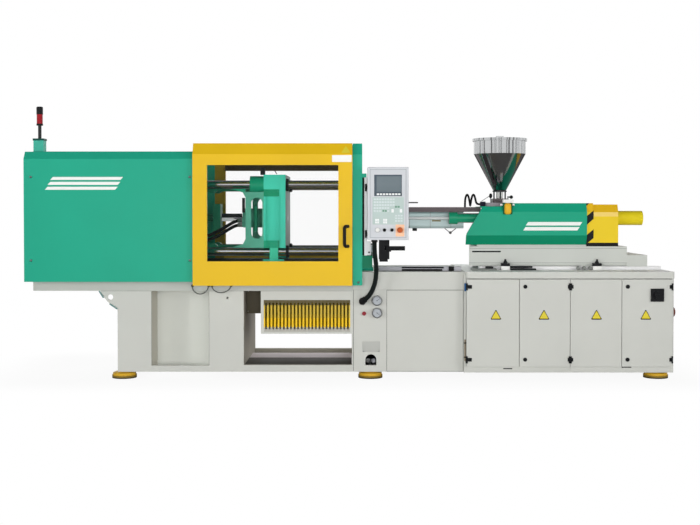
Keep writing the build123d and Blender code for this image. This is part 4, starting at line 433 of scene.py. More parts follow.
# %% Conduit with its rings
RING_PITCH, GROOVE_RADIUS, CREST_RADIUS = 0.0075, 0.0158, 0.018
ring_count = int(conduit_length / RING_PITCH)
conduit_shape = bmesh.new()
profile = []
for number in range(ring_count):
    low = number * conduit_length / ring_count
    for share, radius in ((0.0, GROOVE_RADIUS), (0.25, GROOVE_RADIUS), (0.4, CREST_RADIUS),
                          (0.75, CREST_RADIUS)):
        profile.append((radius, 0, low + share * conduit_length / ring_count))
profile.append((GROOVE_RADIUS, 0, conduit_length))
profile_corners = [conduit_shape.verts.new(place) for place in profile]
for first, second in zip(profile_corners, profile_corners[1:]):
    conduit_shape.edges.new((first, second))
bmesh.ops.spin(conduit_shape, geom=conduit_shape.verts[:] + conduit_shape.edges[:], cent=(0, 0, 0),
               axis=(0, 0, 1), angle=math.tau, steps=28, use_merge=True)
bmesh.ops.remove_doubles(conduit_shape, verts=conduit_shape.verts, dist=1e-5)
bmesh.ops.holes_fill(conduit_shape, edges=[e for e in conduit_shape.edges if e.is_boundary], sides=0)
carry_onto(conduit_shape, conduit_line)
bmesh.ops.recalc_face_normals(conduit_shape, faces=conduit_shape.faces)
conduit_mesh = bpy.data.meshes.new("conduit_hose")
conduit_shape.to_mesh(conduit_mesh)
conduit_shape.free()
conduit_mesh.shade_smooth()
conduit_mesh.materials.append(finish("conduit_black", srgb(20, 26, 25), 0.45, grain=300))
conduit = bpy.data.objects.new("conduit_hose", conduit_mesh)
scene.collection.objects.link(conduit)
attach(conduit, "machine")
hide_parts("panel_conduit")
print("conduit rings", ring_count, "length", round(conduit_length, 3))

# %% [markdown]
# ## Light and floor
# The machine stands in a bright studio, lit by the world and by soft boxes. A plain white
# world would be simplest, but polished steel would then turn white all over. So each kind
# of ray sees its own world. The camera and a pane see white, a reflection sees bright and
# dim upright strips, and other rays find it bright at the horizon and dim overhead.

# %% World
world = bpy.data.worlds.new("studio")
scene.world = world
world.use_nodes = True
sky = world.node_tree
heading = split_place(sky, sky.nodes.new("ShaderNodeTexCoord").outputs["Generated"])
dim = ramp(sky, heading["Z"], 0.05, 0.8, 0.72, 0.14)
lamps_around = sky.nodes.new("ShaderNodeTexNoise")
lamps_around.noise_dimensions = "1D"
lamps_around.inputs["Scale"].default_value = 6.5
lamps_around.inputs["Detail"].default_value = 2.0
feed(sky, lamps_around.inputs["W"], math_node(sky, "ARCTAN2", heading["X"], heading["Y"]))
strips = ramp(sky, lamps_around.outputs["Fac"], 0.4, 0.47, 0.22, 0.98)
mirror = math_node(sky, "MULTIPLY", strips, ramp(sky, heading["Z"], 0.4, 0.62, 1.0, 0.08))
rays = sky.nodes.new("ShaderNodeLightPath").outputs
seen = math_node(sky, "MAXIMUM", rays["Is Camera Ray"], rays["Is Transmission Ray"])
in_mirror = math_node(sky, "MULTIPLY", rays["Is Glossy Ray"], math_node(sky, "SUBTRACT", mirror, dim))
strength = math_node(sky, "MAXIMUM", seen, math_node(sky, "ADD", dim, in_mirror))
backdrop = sky.nodes["Background"]
backdrop.inputs["Color"].default_value = (1, 1, 1, 1)
feed(sky, backdrop.inputs["Strength"], strength)
print("world nodes", len(sky.nodes))

# %% [markdown]
# ### Soft boxes
# Two boxes stand in front at the left and the right, a long low one stands between them,
# and one behind lights the back. One strong lamp would throw hard shadows, and wide area
# lamps don't. They are kept out of reflections, where they would show as white blocks.

# %% Soft boxes
for name, place, target, width, tall, power in (
    ("key_box", (-8.6, -7.2, 1.7), (-0.3, 0, 1.1), 3.0, 2.4, 250),
    ("fill_box", (8.6, -7.2, 1.7), (0.6, 0, 1.0), 3.0, 2.4, 250),
    ("front_box", (0.0, -7.6, 0.9), (0, 0, 1.0), 6.0, 1.6, 225),
    ("back_box", (0.5, 6.0, 2.6), (0, 0, 1.0), 4.0, 2.0, 300),
):
    lamp_data = bpy.data.lights.new(name, "AREA")
    lamp_data.shape = "RECTANGLE"
    lamp_data.size = width
    lamp_data.size_y = tall
    lamp_data.energy = power
    lamp = bpy.data.objects.new(name, lamp_data)
    lamp.location = place
    lamp.rotation_euler = (Vector(target) - Vector(place)).to_track_quat("-Z", "Y").to_euler()
    lamp.visible_glossy = False
    scene.collection.objects.link(lamp)
    print(name, "power", power)

# %% [markdown]
# ### Floor
# The floor is white and goes over into the backdrop without an edge. Near the machine it
# takes its soft shadow. Further out it glows at the backdrop's own white for the camera.
# A reflection sees it dark, so that steel keeps a dark lower edge.

# %% Floor sheet
floor_shape = bmesh.new()
bmesh.ops.create_grid(floor_shape, x_segments=2, y_segments=2, size=30)
bmesh.ops.translate(floor_shape, verts=floor_shape.verts, vec=(0, 0, -0.0005))
floor_mesh = bpy.data.meshes.new("studio_floor")
floor_shape.to_mesh(floor_mesh)
floor_shape.free()
floor = bpy.data.objects.new("studio_floor", floor_mesh)
scene.collection.objects.link(floor)
print("floor faces", len(floor_mesh.polygons))

# %% [markdown]
# ### Paint of the floor
# The share of glow grows with the distance from the machine's own footprint, measured
# from two edges like the hypotenuse of a triangle. A shadow catcher would hide the floor
# from the other views, so a plain mix of two shaders is used.


# %% Floor paint
floor_paint = bpy.data.materials.new("studio_floor")
floor_paint.use_nodes = True
ground = floor_paint.node_tree
ground.nodes.clear()
ground_place = split_place(ground, ground.nodes.new("ShaderNodeTexCoord").outputs["Object"])


def squared_way(axis, reach):
    """The square of how far a place lies past the reach, on either side of the machine."""
    past = math_node(ground, "SUBTRACT", math_node(ground, "ABSOLUTE", ground_place[axis]), reach)
    way = math_node(ground, "MAXIMUM", past, 0.0)
    return math_node(ground, "MULTIPLY", way, way)


away = math_node(ground, "SQRT", math_node(ground, "ADD", squared_way("X", 2.3), squared_way("Y", 0.55)))
ground_rays = ground.nodes.new("ShaderNodeLightPath").outputs
seen_floor = math_node(ground, "MAXIMUM", ground_rays["Is Camera Ray"], ground_rays["Is Transmission Ray"])
matt = ground.nodes.new("ShaderNodeBsdfDiffuse")
feed(ground, matt.inputs["Color"],
     mix_colour(ground, ground_rays["Is Glossy Ray"], (0.82, 0.82, 0.82, 1), (0.2, 0.19, 0.19, 1)))
glow = ground.nodes.new("ShaderNodeEmission")
glow.inputs["Strength"].default_value = 1.0
joined = ground.nodes.new("ShaderNodeMixShader")
glow_share = math_node(ground, "MULTIPLY", ramp(ground, away, 0.0, 0.7, 0.93, 1.0), seen_floor)
for number, socket in enumerate((glow_share, matt.outputs[0], glow.outputs[0])):
    feed(ground, joined.inputs[number], socket)
floor_out = ground.nodes.new("ShaderNodeOutputMaterial")
feed(ground, floor_out.inputs["Surface"], joined.outputs[0])
floor_mesh.materials.append(floor_paint)
print("floor nodes", len(ground.nodes))

# %% [markdown]
# ## Finishes of the imported parts
# The imported parts keep their meshes and get their paint by name. The clamp side comes
# first. A foot is a gold disc with a duller rim, a rubber pad and a steel stud. The beacon
# is a teal box with a dark flange, a black pole, a collar, a red lens and a cap. The doors
# have black handles. The rear one is painted duller inside, with a dark strip at its top,
# and both are painted shade. The guard frame's lug under the panel bracket is painted
# dark green as painted shade, and the inner face of the rear cover is painted dark yellow,
# painted shade in the colour of the rear door's frame.

# %% Feet, beacon, doors and covers
foot_finish = finish("foot_gold", srgb(214, 170, 50), 0.38, 0.0, zones=[
    ("z < 0.021", srgb(128, 106, 44), 0.5),
    ("z < 0.0082", srgb(52, 46, 34), 0.6),
    ("z > 0.0545", STEEL, 0.35, 1.0)])
beacon_finish = finish("beacon_set", srgb(66, 174, 152), 0.4, zones=[
    ("z > 1.7712", srgb(20, 72, 64), 0.4),
    ("z > 1.7865", srgb(44, 46, 46), 0.3),
    ("z > 1.8845", BLACK, 0.4),
    ("z > 1.8975", srgb(158, 24, 36), 0.2),
    ("z > 1.9665", BLACK, 0.35)])
door_finish = finish("door_enamel", srgb(226, 184, 26), 0.34, zones=[
    ("|y| > 0.6203", BLACK, 0.35),
    # The rear door's inside is painted duller, and darker still at its top: painted shade.
    ("y < 0.5905 and y > 0.0", srgb(150, 122, 16), 0.5),
    ("y < 0.5905 and y > 0.0 and z > 1.58", srgb(62, 48, 26), 0.5)])
guard_frame_finish = finish("guard_frame_enamel", TEAL, 0.35, zones=[
    # The frame's lower lug under the panel bracket is painted dark green: painted shade.
    ("x > 0.0905 and z < 1.2", srgb(8, 108, 78), 0.4)])
cover_rear_finish = finish("rear_cover_enamel", TEAL, 0.35, zones=[
    # Right of x -1.134 the rear cover's inner face is painted dark yellow: painted shade in the colour of the
    # rear door's frame.
    ("x > -1.134 and y < 0.5842", srgb(168, 138, 22), 0.45)])
print("finishes", len(bpy.data.materials))

# %% [markdown]
# ### Clamp and its bed
# The moving platen's zones are the bands across its sleeves, darker as painted shade on the
# slopes above and below its pocket, the tops of its sleeves, darker green as painted shade,
# its skirt, its feet and the bare steel face that a mould is bolted to. The bed's zones are
# the table's front edge, darker as painted shadow under the cover, the recess, lighter as
# painted light, with the strip beside the pedestal and its shaded right part, both darker
# as painted shade, and the steel guides on top. The grille is duller above and dark along
# its top, both painted shade, and grey at its bottom.

# %% Platen, clamp bed and grille
platen_finish = finish("platen_enamel", srgb(64, 202, 174), 0.42, mottle=0.12, zones=[
    # The two bands are painted shade on the slopes above and below the pocket.
    ("z > 1.3585 and z < 1.412 and x < -0.535 and x > -0.6545", srgb(0, 142, 100), 0.4),
    ("z < 1.0245 and z > 0.9685 and x < -0.535", srgb(10, 156, 116), 0.4),
    ("x < -0.6545 and z < 1.3925", srgb(84, 168, 142), 0.45),
    # The sleeves' tops are painted darker green: painted shade.
    ("x < -0.6545 and z > 1.3925", srgb(14, 150, 112), 0.35),
    ("z < 0.968 and z > 0.8825", srgb(60, 196, 158), 0.4),
    ("x > -0.4885 and |y| < 0.3195", srgb(96, 118, 110), 0.4, 1.0)])
clamp_bed_finish = finish("clamp_bed_enamel", BED_GREY, 0.42, mottle=0.05, zones=[
    # The table's front edge is painted darker: painted shadow under the cover.
    ("z > 0.657 and y < -0.4995", srgb(184, 186, 180), 0.42),
    # The recess is painted lighter: painted light.
    ("|y| < 0.4985 and z > 0.05 and z < 0.657", srgb(224, 226, 219), 0.45),
    # The strip beside the pedestal and the recess's right part are painted darker: painted shade.
    ("|y| < 0.4985 and x < -1.4745 and x > -1.4755", srgb(186, 182, 170), 0.45),
    ("|y| < 0.4985 and x > -0.7895 and z < 0.657", srgb(172, 167, 154), 0.45),
    ("z > 0.7305", srgb(96, 98, 98), 0.35, 1.0)])
grille_finish = finish("grille_enamel", srgb(240, 196, 30), 0.35, zones=[
    # Above 0.455 m the grille is painted duller and above 0.549 m dark: painted shade.
    ("z > 0.455", srgb(206, 176, 62), 0.4),
    ("z > 0.549", srgb(96, 86, 58), 0.5),
    ("z < 0.3845", srgb(176, 174, 166), 0.45)])
print("finishes", len(bpy.data.materials))

# %% [markdown]
# ### Injection unit
# The housing is painted darker below its fold, a painted shade, and has a dark socket on
# its deck. The bed's top is painted paler than its walls, a painted light on its top face.
# Polished steel is stretched noise with a low roughness, so that the hopper shines upright
# and the barrel cover lengthwise. The hopper's foot is dark steel.

# %% Housing, sled, rods, hopper and barrel cover
housing_finish = finish("housing_enamel", srgb(24, 158, 124), 0.36, zones=[
    # Below its fold the housing is painted darker: painted shade.
    ("z < 1.0625", srgb(6, 134, 98), 0.4),
    ("x > 0.9995 and x < 1.0405 and z > 1.2835 and y < -0.17", srgb(22, 20, 40), 0.4)])
bed_finish = finish("injection_bed_enamel", BED_GREY, 0.42, mottle=0.05, zones=[
    # The top over the cabinets is painted paler: painted light.
    ("z > 0.7996 and x > 0.853", srgb(250, 250, 248), 0.4),
    ("z > 0.8005 and |y| < 0.27", srgb(236, 236, 236), 0.3)])
base_finish = finish("sled_enamel", srgb(196, 199, 193), 0.42, mottle=0.05, zones=[
    ("z > 0.9786 and z < 1.0062 and x > 1.8035", BLACK, 0.5)])
rod_chrome = finish("rod_chrome", srgb(236, 240, 240), 0.25, 0.35)
cylinder_finish = finish("cylinder_enamel", srgb(20, 150, 110), 0.22, specular=0.6)
hopper_steel = finish("hopper_steel", srgb(205, 207, 208), 0.11, 1.0, 0.1, 60, 0.03, (1, 1, 0.08), zones=[
    ("z < 1.4085", srgb(84, 88, 90), 0.3, 1.0),
    ("z < 1.3455", srgb(98, 88, 90), 0.45)], cloud_scale=5.0)
cover_steel = finish("cover_steel", srgb(204, 222, 222), 0.36, 0.3, 0.12, 60, 0.04, (0.1, 1, 1), zones=[
    ("z > 1.2402", srgb(100, 90, 93), 0.5)])
gate_finish = finish("gate_steel", STEEL, 0.3, 1.0, 0.12, zones=[("x > 1.2535", BLACK, 0.35)])
print("finishes", len(bpy.data.materials))

# %% [markdown]
# ### Striped rear guard
# A warning band of black stripes runs round the edge of the rear guard. It could be made
# of thin plates, but then every fold would need its own. Here the stripes are worked out
# from the place: the height less a share of X, cut into equal turns, dark in part of each.


# %% Stripes by place
STRIPE_SLOPE, STRIPE_START, STRIPE_TURN, DARK_SHARE, BAND_RIGHT = 0.85, 1.5475, 0.1445, 0.46, 1.8572


def slanted_stripes(tree, place, tone):
    """Black stripes that rise to the right, on the edge band of the rear guard."""
    levels = split_place(tree, place)
    slant = math_node(tree, "SUBTRACT", levels["Z"], math_node(tree, "MULTIPLY", levels["X"], STRIPE_SLOPE))
    turns = math_node(tree, "DIVIDE", math_node(tree, "ADD", slant, STRIPE_START), STRIPE_TURN)
    dark = math_node(tree, "LESS_THAN", math_node(tree, "FRACT", turns), DARK_SHARE)
    band = math_node(tree, "MULTIPLY", dark, math_node(tree, "LESS_THAN", levels["X"], BAND_RIGHT))
    return mix_colour(tree, band, tone, BLACK)


rear_guard_finish = finish("rear_guard_enamel", srgb(232, 200, 40), 0.34, stripes=slanted_stripes, zones=[
    ("x > 2.0462", srgb(232, 212, 34), 0.36),
    # A pale band below the shoulder is a painted highlight.
    ("z > 1.2065 and z < 1.2385 and x > 1.8575 and x < 2.0457", srgb(240, 208, 112), 0.3),
    # The top slope is painted a darker yellow: painted shade.
    ("z > 1.2402 and x < 2.0457", srgb(226, 180, 30), 0.36)])
print("finishes", len(bpy.data.materials))

# %% [markdown]
# ### Cabinets, panel and panes
# Whatever stands out from a cabinet door is black, such as its lock, and three upright
# strips of the doors take the bed's grey back. The panel is black at its left edge and
# under its case, where the swivel is. A pane is almost clear, with a trace of green.

# %% Cabinet doors, panel, bracket and panes
cabinet_finish = finish("cabinet_enamel", BED_GREY, 0.42, mottle=0.05, zones=[
    ("y < -0.5602", BLACK, 0.4),
    ("y < -0.5602 and x > 1.5 and x < 1.604", BED_GREY, 0.42),
    ("y < -0.5602 and x > 1.646 and x < 1.72", BED_GREY, 0.42),
    ("y < -0.5602 and x > 2.32 and x < 2.353", BED_GREY, 0.42)])
panel_finish = finish("panel_case", srgb(204, 207, 211), 0.42, mottle=0.04, zones=[
    ("x < 0.1268", BLACK, 0.4),
    ("z < 1.0372", srgb(24, 24, 26), 0.5)])
bracket_finish = finish("bracket_enamel", PALE, 0.42, zones=[("y < -0.5923", BLACK, 0.4)])
pane = finish("clear_pane", srgb(120, 134, 130), 0.05, alpha=0.015, mottle=0.02, bump=0.0)
print("finishes", len(bpy.data.materials))

# %% [markdown]
# ### Paint by node
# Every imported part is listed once, under its finish. Only the material of its slots
# changes, and its mesh stays as it came. Each slot of a part gets the same finish. The
# cord nodes are left out, because the cords above replaced them.

# %% Paint by node
paints = {
    teal_paint: "clamp_cover_front rear_guard_frame fixed_platen screw_drive pump_motor",
    housing_finish: "injection_housing",
    platen_finish: "moving_platen",
    teal_painted_shade: "front_link_upper front_link_lower rear_link_upper rear_link_lower crosshead "
               "tail_platen clamp_cylinder",
    cylinder_finish: "carriage_cylinders",
    grey_paint: "gauge_plate",
    clamp_bed_finish: "clamp_bed",
    cover_rear_finish: "clamp_cover_rear",
    grille_finish: "chute_grille",
    bed_finish: "injection_bed",
    cabinet_finish: "cabinet_door_1 cabinet_door_2 cabinet_door_3 cabinet_door_4",
    base_finish: "injection_base",
    door_finish: "front_door rear_door",
    rear_guard_finish: "rear_guard",
    panel_finish: "control_panel",
    bracket_finish: "panel_bracket",
    white_plate: "key_switch",
    guard_frame_finish: "front_guard_frame",
    bar_chrome: "tie_bars crosshead_guides ejector_rod",
    rod_chrome: "carriage_rods",
    hopper_steel: "hopper hopper_lid",
    cover_steel: "barrel_cover",
    turned_steel: "barrel screw",
    gate_finish: "hopper_gate",
    black_paint: "cabinet_hinges mould_height_nuts main_switch_knob",
    black_plastic: "selector_knob_left selector_knob_right panel_lever pressure_gauges conduit_elbow",
    red_cap: "stop_button",
    push_red: "push_button",
    foot_finish: "levelling_feet",
    beacon_finish: "beacon",
    pane: "front_window rear_window",
}
painted = set()
for material, names in paints.items():
    for node_name in names.split():
        mesh = nodes[node_name].data
        if not mesh.materials:
            mesh.materials.append(material)
        for index in range(len(mesh.materials)):
            mesh.materials[index] = material
        painted.add(node_name)
cord_nodes = {"clamp_hoses", "panel_conduit", "loop_cables", "heater_cable"}
print("painted", len(painted), "left plain", sorted(set(nodes) - painted - cord_nodes))

# %% [markdown]
# ## Small pieces
# Screws, plates, dials and keys are made with three shapes: a box with softened edges, a
# turned shape spun from its profile, and a flat plate cut to an outline. Each is built in
# its place, and pieces of one body and one job are joined into one object.


# %% Spans, outlines and turns
def around(middle, half):
    """A span that reaches as far before the middle as past it."""
    return middle - half, middle + half


def tilted(degrees, axis="Y"):
    """A turn about an axis."""
    return Matrix.Rotation(math.radians(degrees), 3, axis)


def rectangle(left, right, low, high):
    """The outline of a rectangular plate."""
    return [(left, low), (right, low), (right, high), (left, high)]


def rod(radius, height):
    """The outline of a plain rod."""
    return [(0, 0), (radius, 0), (radius, height), (0, height)]


def ring(inner, outer, height, low=0):
    """The closed outline of a plain ring."""
    return [(inner, low), (outer, low), (outer, height), (inner, height), (inner, low)]


def pan_head(radius, height):
    """The outline of a domed screw head."""
    return [(0, height), (radius * 0.55, height * 0.92), (radius * 0.88, height * 0.55), (radius, 0), (0, 0)]


print("a screw head has", len(pan_head(0.009, 0.005)), "points")

# %% [markdown]
# ### A box with soft edges
# A block or a sheet has no perfectly sharp edge, and a small bevel catches the light. The
# cube is scaled first, bevelled while it is upright, and only then turned and moved. Each
# part is a bmesh of its own that is added to its piece with a material slot. Joining
# objects would do the same, but needs the editor's selection.


# %% Joined parts and boxes
def join_shape(shape, part, slot=0):
    """Adds a finished part to the piece, with its own material slot."""
    bmesh.ops.recalc_face_normals(part, faces=part.faces)
    for face in part.faces:
        face.material_index = slot
    mesh = bpy.data.meshes.new("part")
    part.to_mesh(mesh)
    part.free()
    shape.from_mesh(mesh)
    bpy.data.meshes.remove(mesh)


def add_box(shape, x, y, z, edge=0.001, slot=0, turn=None, segments=2):
    """A box from corner to corner with softened edges, turned about its middle if asked."""
    part = bmesh.new()
    bmesh.ops.create_cube(part, size=1)
    bmesh.ops.scale(part, verts=part.verts, vec=(x[1] - x[0], y[1] - y[0], z[1] - z[0]))
    if edge:
        bmesh.ops.bevel(part, geom=part.edges[:], offset=edge, segments=segments, profile=0.5,
                        affect="EDGES", material=-1)
    if turn is not None:
        bmesh.ops.rotate(part, verts=part.verts, cent=(0, 0, 0), matrix=turn)
    middle = ((x[0] + x[1]) / 2, (y[0] + y[1]) / 2, (z[0] + z[1]) / 2)
    bmesh.ops.translate(part, verts=part.verts, vec=middle)
    join_shape(shape, part, slot)


# %% [markdown]
# ### A turned shape
# Screw heads, rings and caps are round about one axis, as if they came from a lathe. The
# points of the profile are joined to a line that is spun a full turn. Points on the axis
# come out once for each step, so doubles are merged. The heading says where the axis goes.

# %% Turned shapes
HEADINGS = {"z": tilted(0), "-y": tilted(90, "X"), "y": tilted(-90, "X"), "x": tilted(90), "-x": tilted(-90)}


def add_turned(shape, outline, place, heading="-y", slot=0, steps=32):
    """A turned shape: its outline of radius and height is spun round the axis."""
    part = bmesh.new()
    rim = [part.verts.new((radius, 0, height)) for radius, height in outline]
    for first, second in zip(rim, rim[1:]):
        part.edges.new((first, second))
    bmesh.ops.spin(part, geom=part.verts[:] + part.edges[:], cent=(0, 0, 0), axis=(0, 0, 1),
                   angle=math.tau, steps=steps, use_merge=True)
    bmesh.ops.remove_doubles(part, verts=part.verts, dist=1e-6)
    bmesh.ops.rotate(part, verts=part.verts, cent=(0, 0, 0), matrix=HEADINGS[heading])
    bmesh.ops.translate(part, verts=part.verts, vec=place)
    join_shape(shape, part, slot)


print("headings", *HEADINGS)

# %% [markdown]
# ### A flat plate
# A plate is cut from sheet, so it is made as it would be in a workshop. The outline is
# filled as one face, its corners are rounded by a bevel of the vertices, and the face is
# extruded to its thickness. Last, the rim of the front is softened.


# %% Plates
def add_plate(shape, outline, thickness, place, edge=0.0006, slot=0, round_corners=0.0, turn=None):
    """A flat plate: its outline in X and Z is filled, its corners rounded, then thickened."""
    part = bmesh.new()
    part.faces.new([part.verts.new((x, 0, z)) for x, z in outline])
    if round_corners:
        bmesh.ops.bevel(part, geom=part.verts[:], offset=round_corners, segments=5, profile=0.5,
                        affect="VERTICES", material=-1)
    solid = bmesh.ops.extrude_face_region(part, geom=part.faces[:])
    moved = [item for item in solid["geom"] if isinstance(item, bmesh.types.BMVert)]
    bmesh.ops.translate(part, verts=moved, vec=(0, -thickness, 0))
    if edge:
        rims = [e for e in part.edges if all(v.co.y < -thickness / 2 for v in e.verts)]
        bmesh.ops.bevel(part, geom=rims, offset=edge, segments=1, profile=0.5, affect="EDGES", material=-1)
    if turn is not None:
        bmesh.ops.rotate(part, verts=part.verts, cent=(0, 0, 0), matrix=turn)
    bmesh.ops.translate(part, verts=part.verts, vec=place)
    join_shape(shape, part, slot)


# %% [markdown]
# ### From shape to piece
# A piece is one object with a few materials. Its faces are shaded smooth, but edges that
# bend more than 32 degrees stay sharp, so that a screw head is round and its rim is crisp.
# It rides a body of the machine, and so it moves with that body in every pose.


# %% Finished pieces
def put(name, shape, materials, body):
    """Makes the piece of its shape, gives it its materials and lets it ride on a body."""
    mesh = bpy.data.meshes.new(name)
    shape.to_mesh(mesh)
    shape.free()
    for material in materials:
        mesh.materials.append(material)
    mesh.shade_smooth()
    mesh.set_sharp_from_angle(angle=math.radians(32))
    piece = bpy.data.objects.new(name, mesh)
    scene.collection.objects.link(piece)
    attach(piece, body)
    print(name, "faces", len(mesh.polygons), "on", body)


# %% [markdown]
# ### Screws of the clamp cover
# Four screws hold each cover's sheet near its corners, and one more sits low on the guard
# post beside it. A domed head is a profile of five points, spun once.

# %% Cover screws, front and rear
COVER_FACE = span_of("clamp_cover_rear", "y")[1]
for side, tag, outward in ((-1, "front", "-y"), (1, "rear", "y")):
    screws = bmesh.new()
    for screw_x in (-2.34, -1.175):
        for screw_z in (1.498, 0.885):
            place = (screw_x, side * COVER_FACE, screw_z)
            add_turned(screws, pan_head(0.009, 0.005), place, outward, steps=20)
    add_turned(screws, pan_head(0.009, 0.006), (0.062, side * COVER_FACE, 0.724), outward)
    put(f"cover_screws_{tag}", screws, [zinc], "machine")

# %% [markdown]
# ### Plain stripes
# Two sets of plain white bars decorate the clamp cover and the housing. A bar is a plate
# of less than a millimetre laid on the paint, and each row up is set a little to the right.

# %% Stripes on the left cover and on the housing
HOUSING_FACE = span_of("injection_housing", "y")[0]
ROW_SHIFT, FILM = 0.02, 0.0008
for name, body, face_y, rows, left, right, lean, lowest, pitch, tall in (
    ("cover_stripes", "machine", -COVER_FACE, 3, -2.236, -1.722, 0.02, 1.404, 0.036, 0.022),
    ("housing_stripes", "carriage", HOUSING_FACE, 2, 1.318, 1.73, 0.018, 1.1, 0.038, 0.026),
):
    stripes = bmesh.new()
    for row in range(rows):
        low, start, end = lowest + row * pitch, left + row * ROW_SHIFT, right + row * ROW_SHIFT
        add_plate(stripes, [(start, low), (end, low), (end + lean, low + tall), (start + lean, low + tall)],
                  FILM, (0, face_y, 0), 0)
    put(name, stripes, [white_plate], body)

# %% [markdown]
# ### Plates on the doors
# Each cabinet door has a plain yellow triangle with a dark rim, and the sliding door has
# a plain white plate and a smaller triangle on its slope. A triangle with rounded corners
# is three vertices, bevelled as corners and then thickened.


# %% Triangular and square plates
def triangle(width, tall):
    """The outline of a triangle about its own middle."""
    return [(-width / 2, -tall / 2), (width / 2, -tall / 2), (0, tall / 2)]


DOOR_FACE, RIM_THICKNESS = -0.56, 0.0012
for number, plate_x in enumerate((1.0752, 1.429, 1.816, 2.179), start=1):
    plate = bmesh.new()
    add_plate(plate, triangle(0.084, 0.076), RIM_THICKNESS, (plate_x, DOOR_FACE, 0.486), 0.0004, 1, 0.01)
    add_plate(plate, triangle(0.066, 0.058), 0.0008, (plate_x, DOOR_FACE - RIM_THICKNESS, 0.485), 0, 0, 0.006)
    put(f"door_plate_{number}", plate, [sign_yellow, black_plastic], f"door_{number}")

slope = Matrix.Rotation(-math.atan2(0.045, 0.082), 3, "X")
plate = bmesh.new()
add_plate(plate, rectangle(-0.131, 0.012, 1.606, 1.656), 0.001, (0, -0.62, 0), 0.0003, 0, 0.004)
add_plate(plate, triangle(0.07, 0.062), 0.001, (-0.03, -0.6003, 1.699), 0.0003, 1, 0.008, slope)
put("sliding_door_plates", plate, [white_plate, sign_yellow], "front_door_body")

# %% [markdown]
# ### Pressure gauges
# A gauge is a black case with a steel rim, a pale dial, a ring of small marks and a
# needle on a hub. The marks and the needle are thin boxes turned round the dial's centre.
# An image of a dial would be quicker, but would stay flat and need a file.

# %% Gauge dials
DIAL_X = middle_of("pressure_gauges", "x")
DIAL_Y, CASE_RADIUS, DIAL_RADIUS, MARK_END = -0.529, 0.0365, 0.031, 0.0285


def dial_bar(shape, dial_z, degrees, start, end, half_width, rise, foot):
    """A thin bar on the dial from one radius to another, turned round the centre."""
    turn = tilted(degrees)
    middle = turn @ Vector((0, 0, (start + end) / 2))
    add_box(shape, around(DIAL_X + middle.x, half_width), (DIAL_Y - rise, DIAL_Y - foot),
            around(dial_z + middle.z, (end - start) / 2), 0, 2, turn)


gauges = bmesh.new()
lowest, highest = span_of("pressure_gauges", "z")
for dial_z, needle_turn in ((highest - CASE_RADIUS, 50), (lowest + CASE_RADIUS, 128)):
    centre = (DIAL_X, DIAL_Y, dial_z)
    add_turned(gauges, [(DIAL_RADIUS, 0), (CASE_RADIUS, 0), (0.0378, 0.002), (CASE_RADIUS, 0.0045),
                        (0.0335, 0.005), (DIAL_RADIUS, 0.0032), (DIAL_RADIUS, 0)],
               (DIAL_X, -0.5285, dial_z), steps=48)
    add_turned(gauges, [(0, 0.0006), (DIAL_RADIUS, 0.0006), (DIAL_RADIUS, 0), (0, 0)], centre, slot=1,
               steps=48)
    for mark in range(21):
        mark_start = 0.0235 if mark % 5 == 0 else 0.0255
        dial_bar(gauges, dial_z, -135 + mark * 13.5, mark_start, MARK_END, 0.0005, 0.001, 0.0005)
    dial_bar(gauges, dial_z, needle_turn, -0.005, 0.023, 0.0008, 0.0018, 0.0012)
    add_turned(gauges, [(0, 0.003), (0.003, 0.0025), (0.0036, 0), (0, 0)], centre, slot=2, steps=16)
put("gauge_dials", gauges, [zinc, finish("dial_grey", srgb(168, 173, 178), 0.35), black_plastic], "machine")

# %% [markdown]
# ### Below the gauges
# A small grey plate is held by two screws near its lower edge. In the arch beneath, two
# hose ends come out of the bed. A hose end is one profile: nipple, nut and hose in turn.

# %% Small plate with two screws, and the hose ends in the arch
small_plate = bmesh.new()
add_box(small_plate, (0.093, 0.222), (-0.5062, -0.5038), (0.202, 0.28), 0.0006)
for screw_x in (0.101, 0.214):
    add_turned(small_plate, pan_head(0.005, 0.0025), (screw_x, -0.5062, 0.208), slot=1, steps=16)
put("valve_plate", small_plate, [finish("plate_grey", srgb(180, 181, 176), 0.4), zinc], "machine")

hose_ends = bmesh.new()
for end_x, slot in ((0.134, 0), (0.175, 1)):
    add_turned(hose_ends, [(0, 0.03), (0.009, 0.03), (0.012, 0.026), (0.012, 0.012), (0.017, 0.011),
                           (0.017, -0.004), (0.011, -0.006), (0.011, -0.04), (0, -0.04)],
               (end_x, -0.475, 0.134), slot=slot, steps=20)
put("arch_hose_ends", hose_ends, [zinc, finish("hose_grey", srgb(128, 130, 134), 0.45)], "machine")

# %% [markdown]
# ### Screen of the control panel
# The panel's face has a screen in a dark bezel with a row of keys below it. A groove runs
# round the face. Cutting it would change the imported part, so four thin grey strips draw
# it, and their grey is painted shade.

# %% Screen, its keys and the groove
FACE_Y = -0.646
screen_glass = finish("screen_glass", srgb(112, 124, 130), 0.12, mottle=0.1)
bezel = finish("screen_bezel", srgb(78, 90, 100), 0.35)
key_white = finish("key_white", srgb(240, 242, 242), 0.45, mottle=0.03)
screen = bmesh.new()
add_box(screen, (0.176, 0.377), (FACE_Y - 0.002, FACE_Y + 0.001), (1.357, 1.512), 0.001, 0)
add_box(screen, (0.193, 0.372), (FACE_Y - 0.0028, FACE_Y - 0.001), (1.387, 1.502), 0.0008, 1)
for key in range(8):
    add_box(screen, around(0.203 + key * 0.0222, 0.0085), (FACE_Y - 0.004, FACE_Y - 0.001), (1.3635, 1.377),
            0.0012, 2)
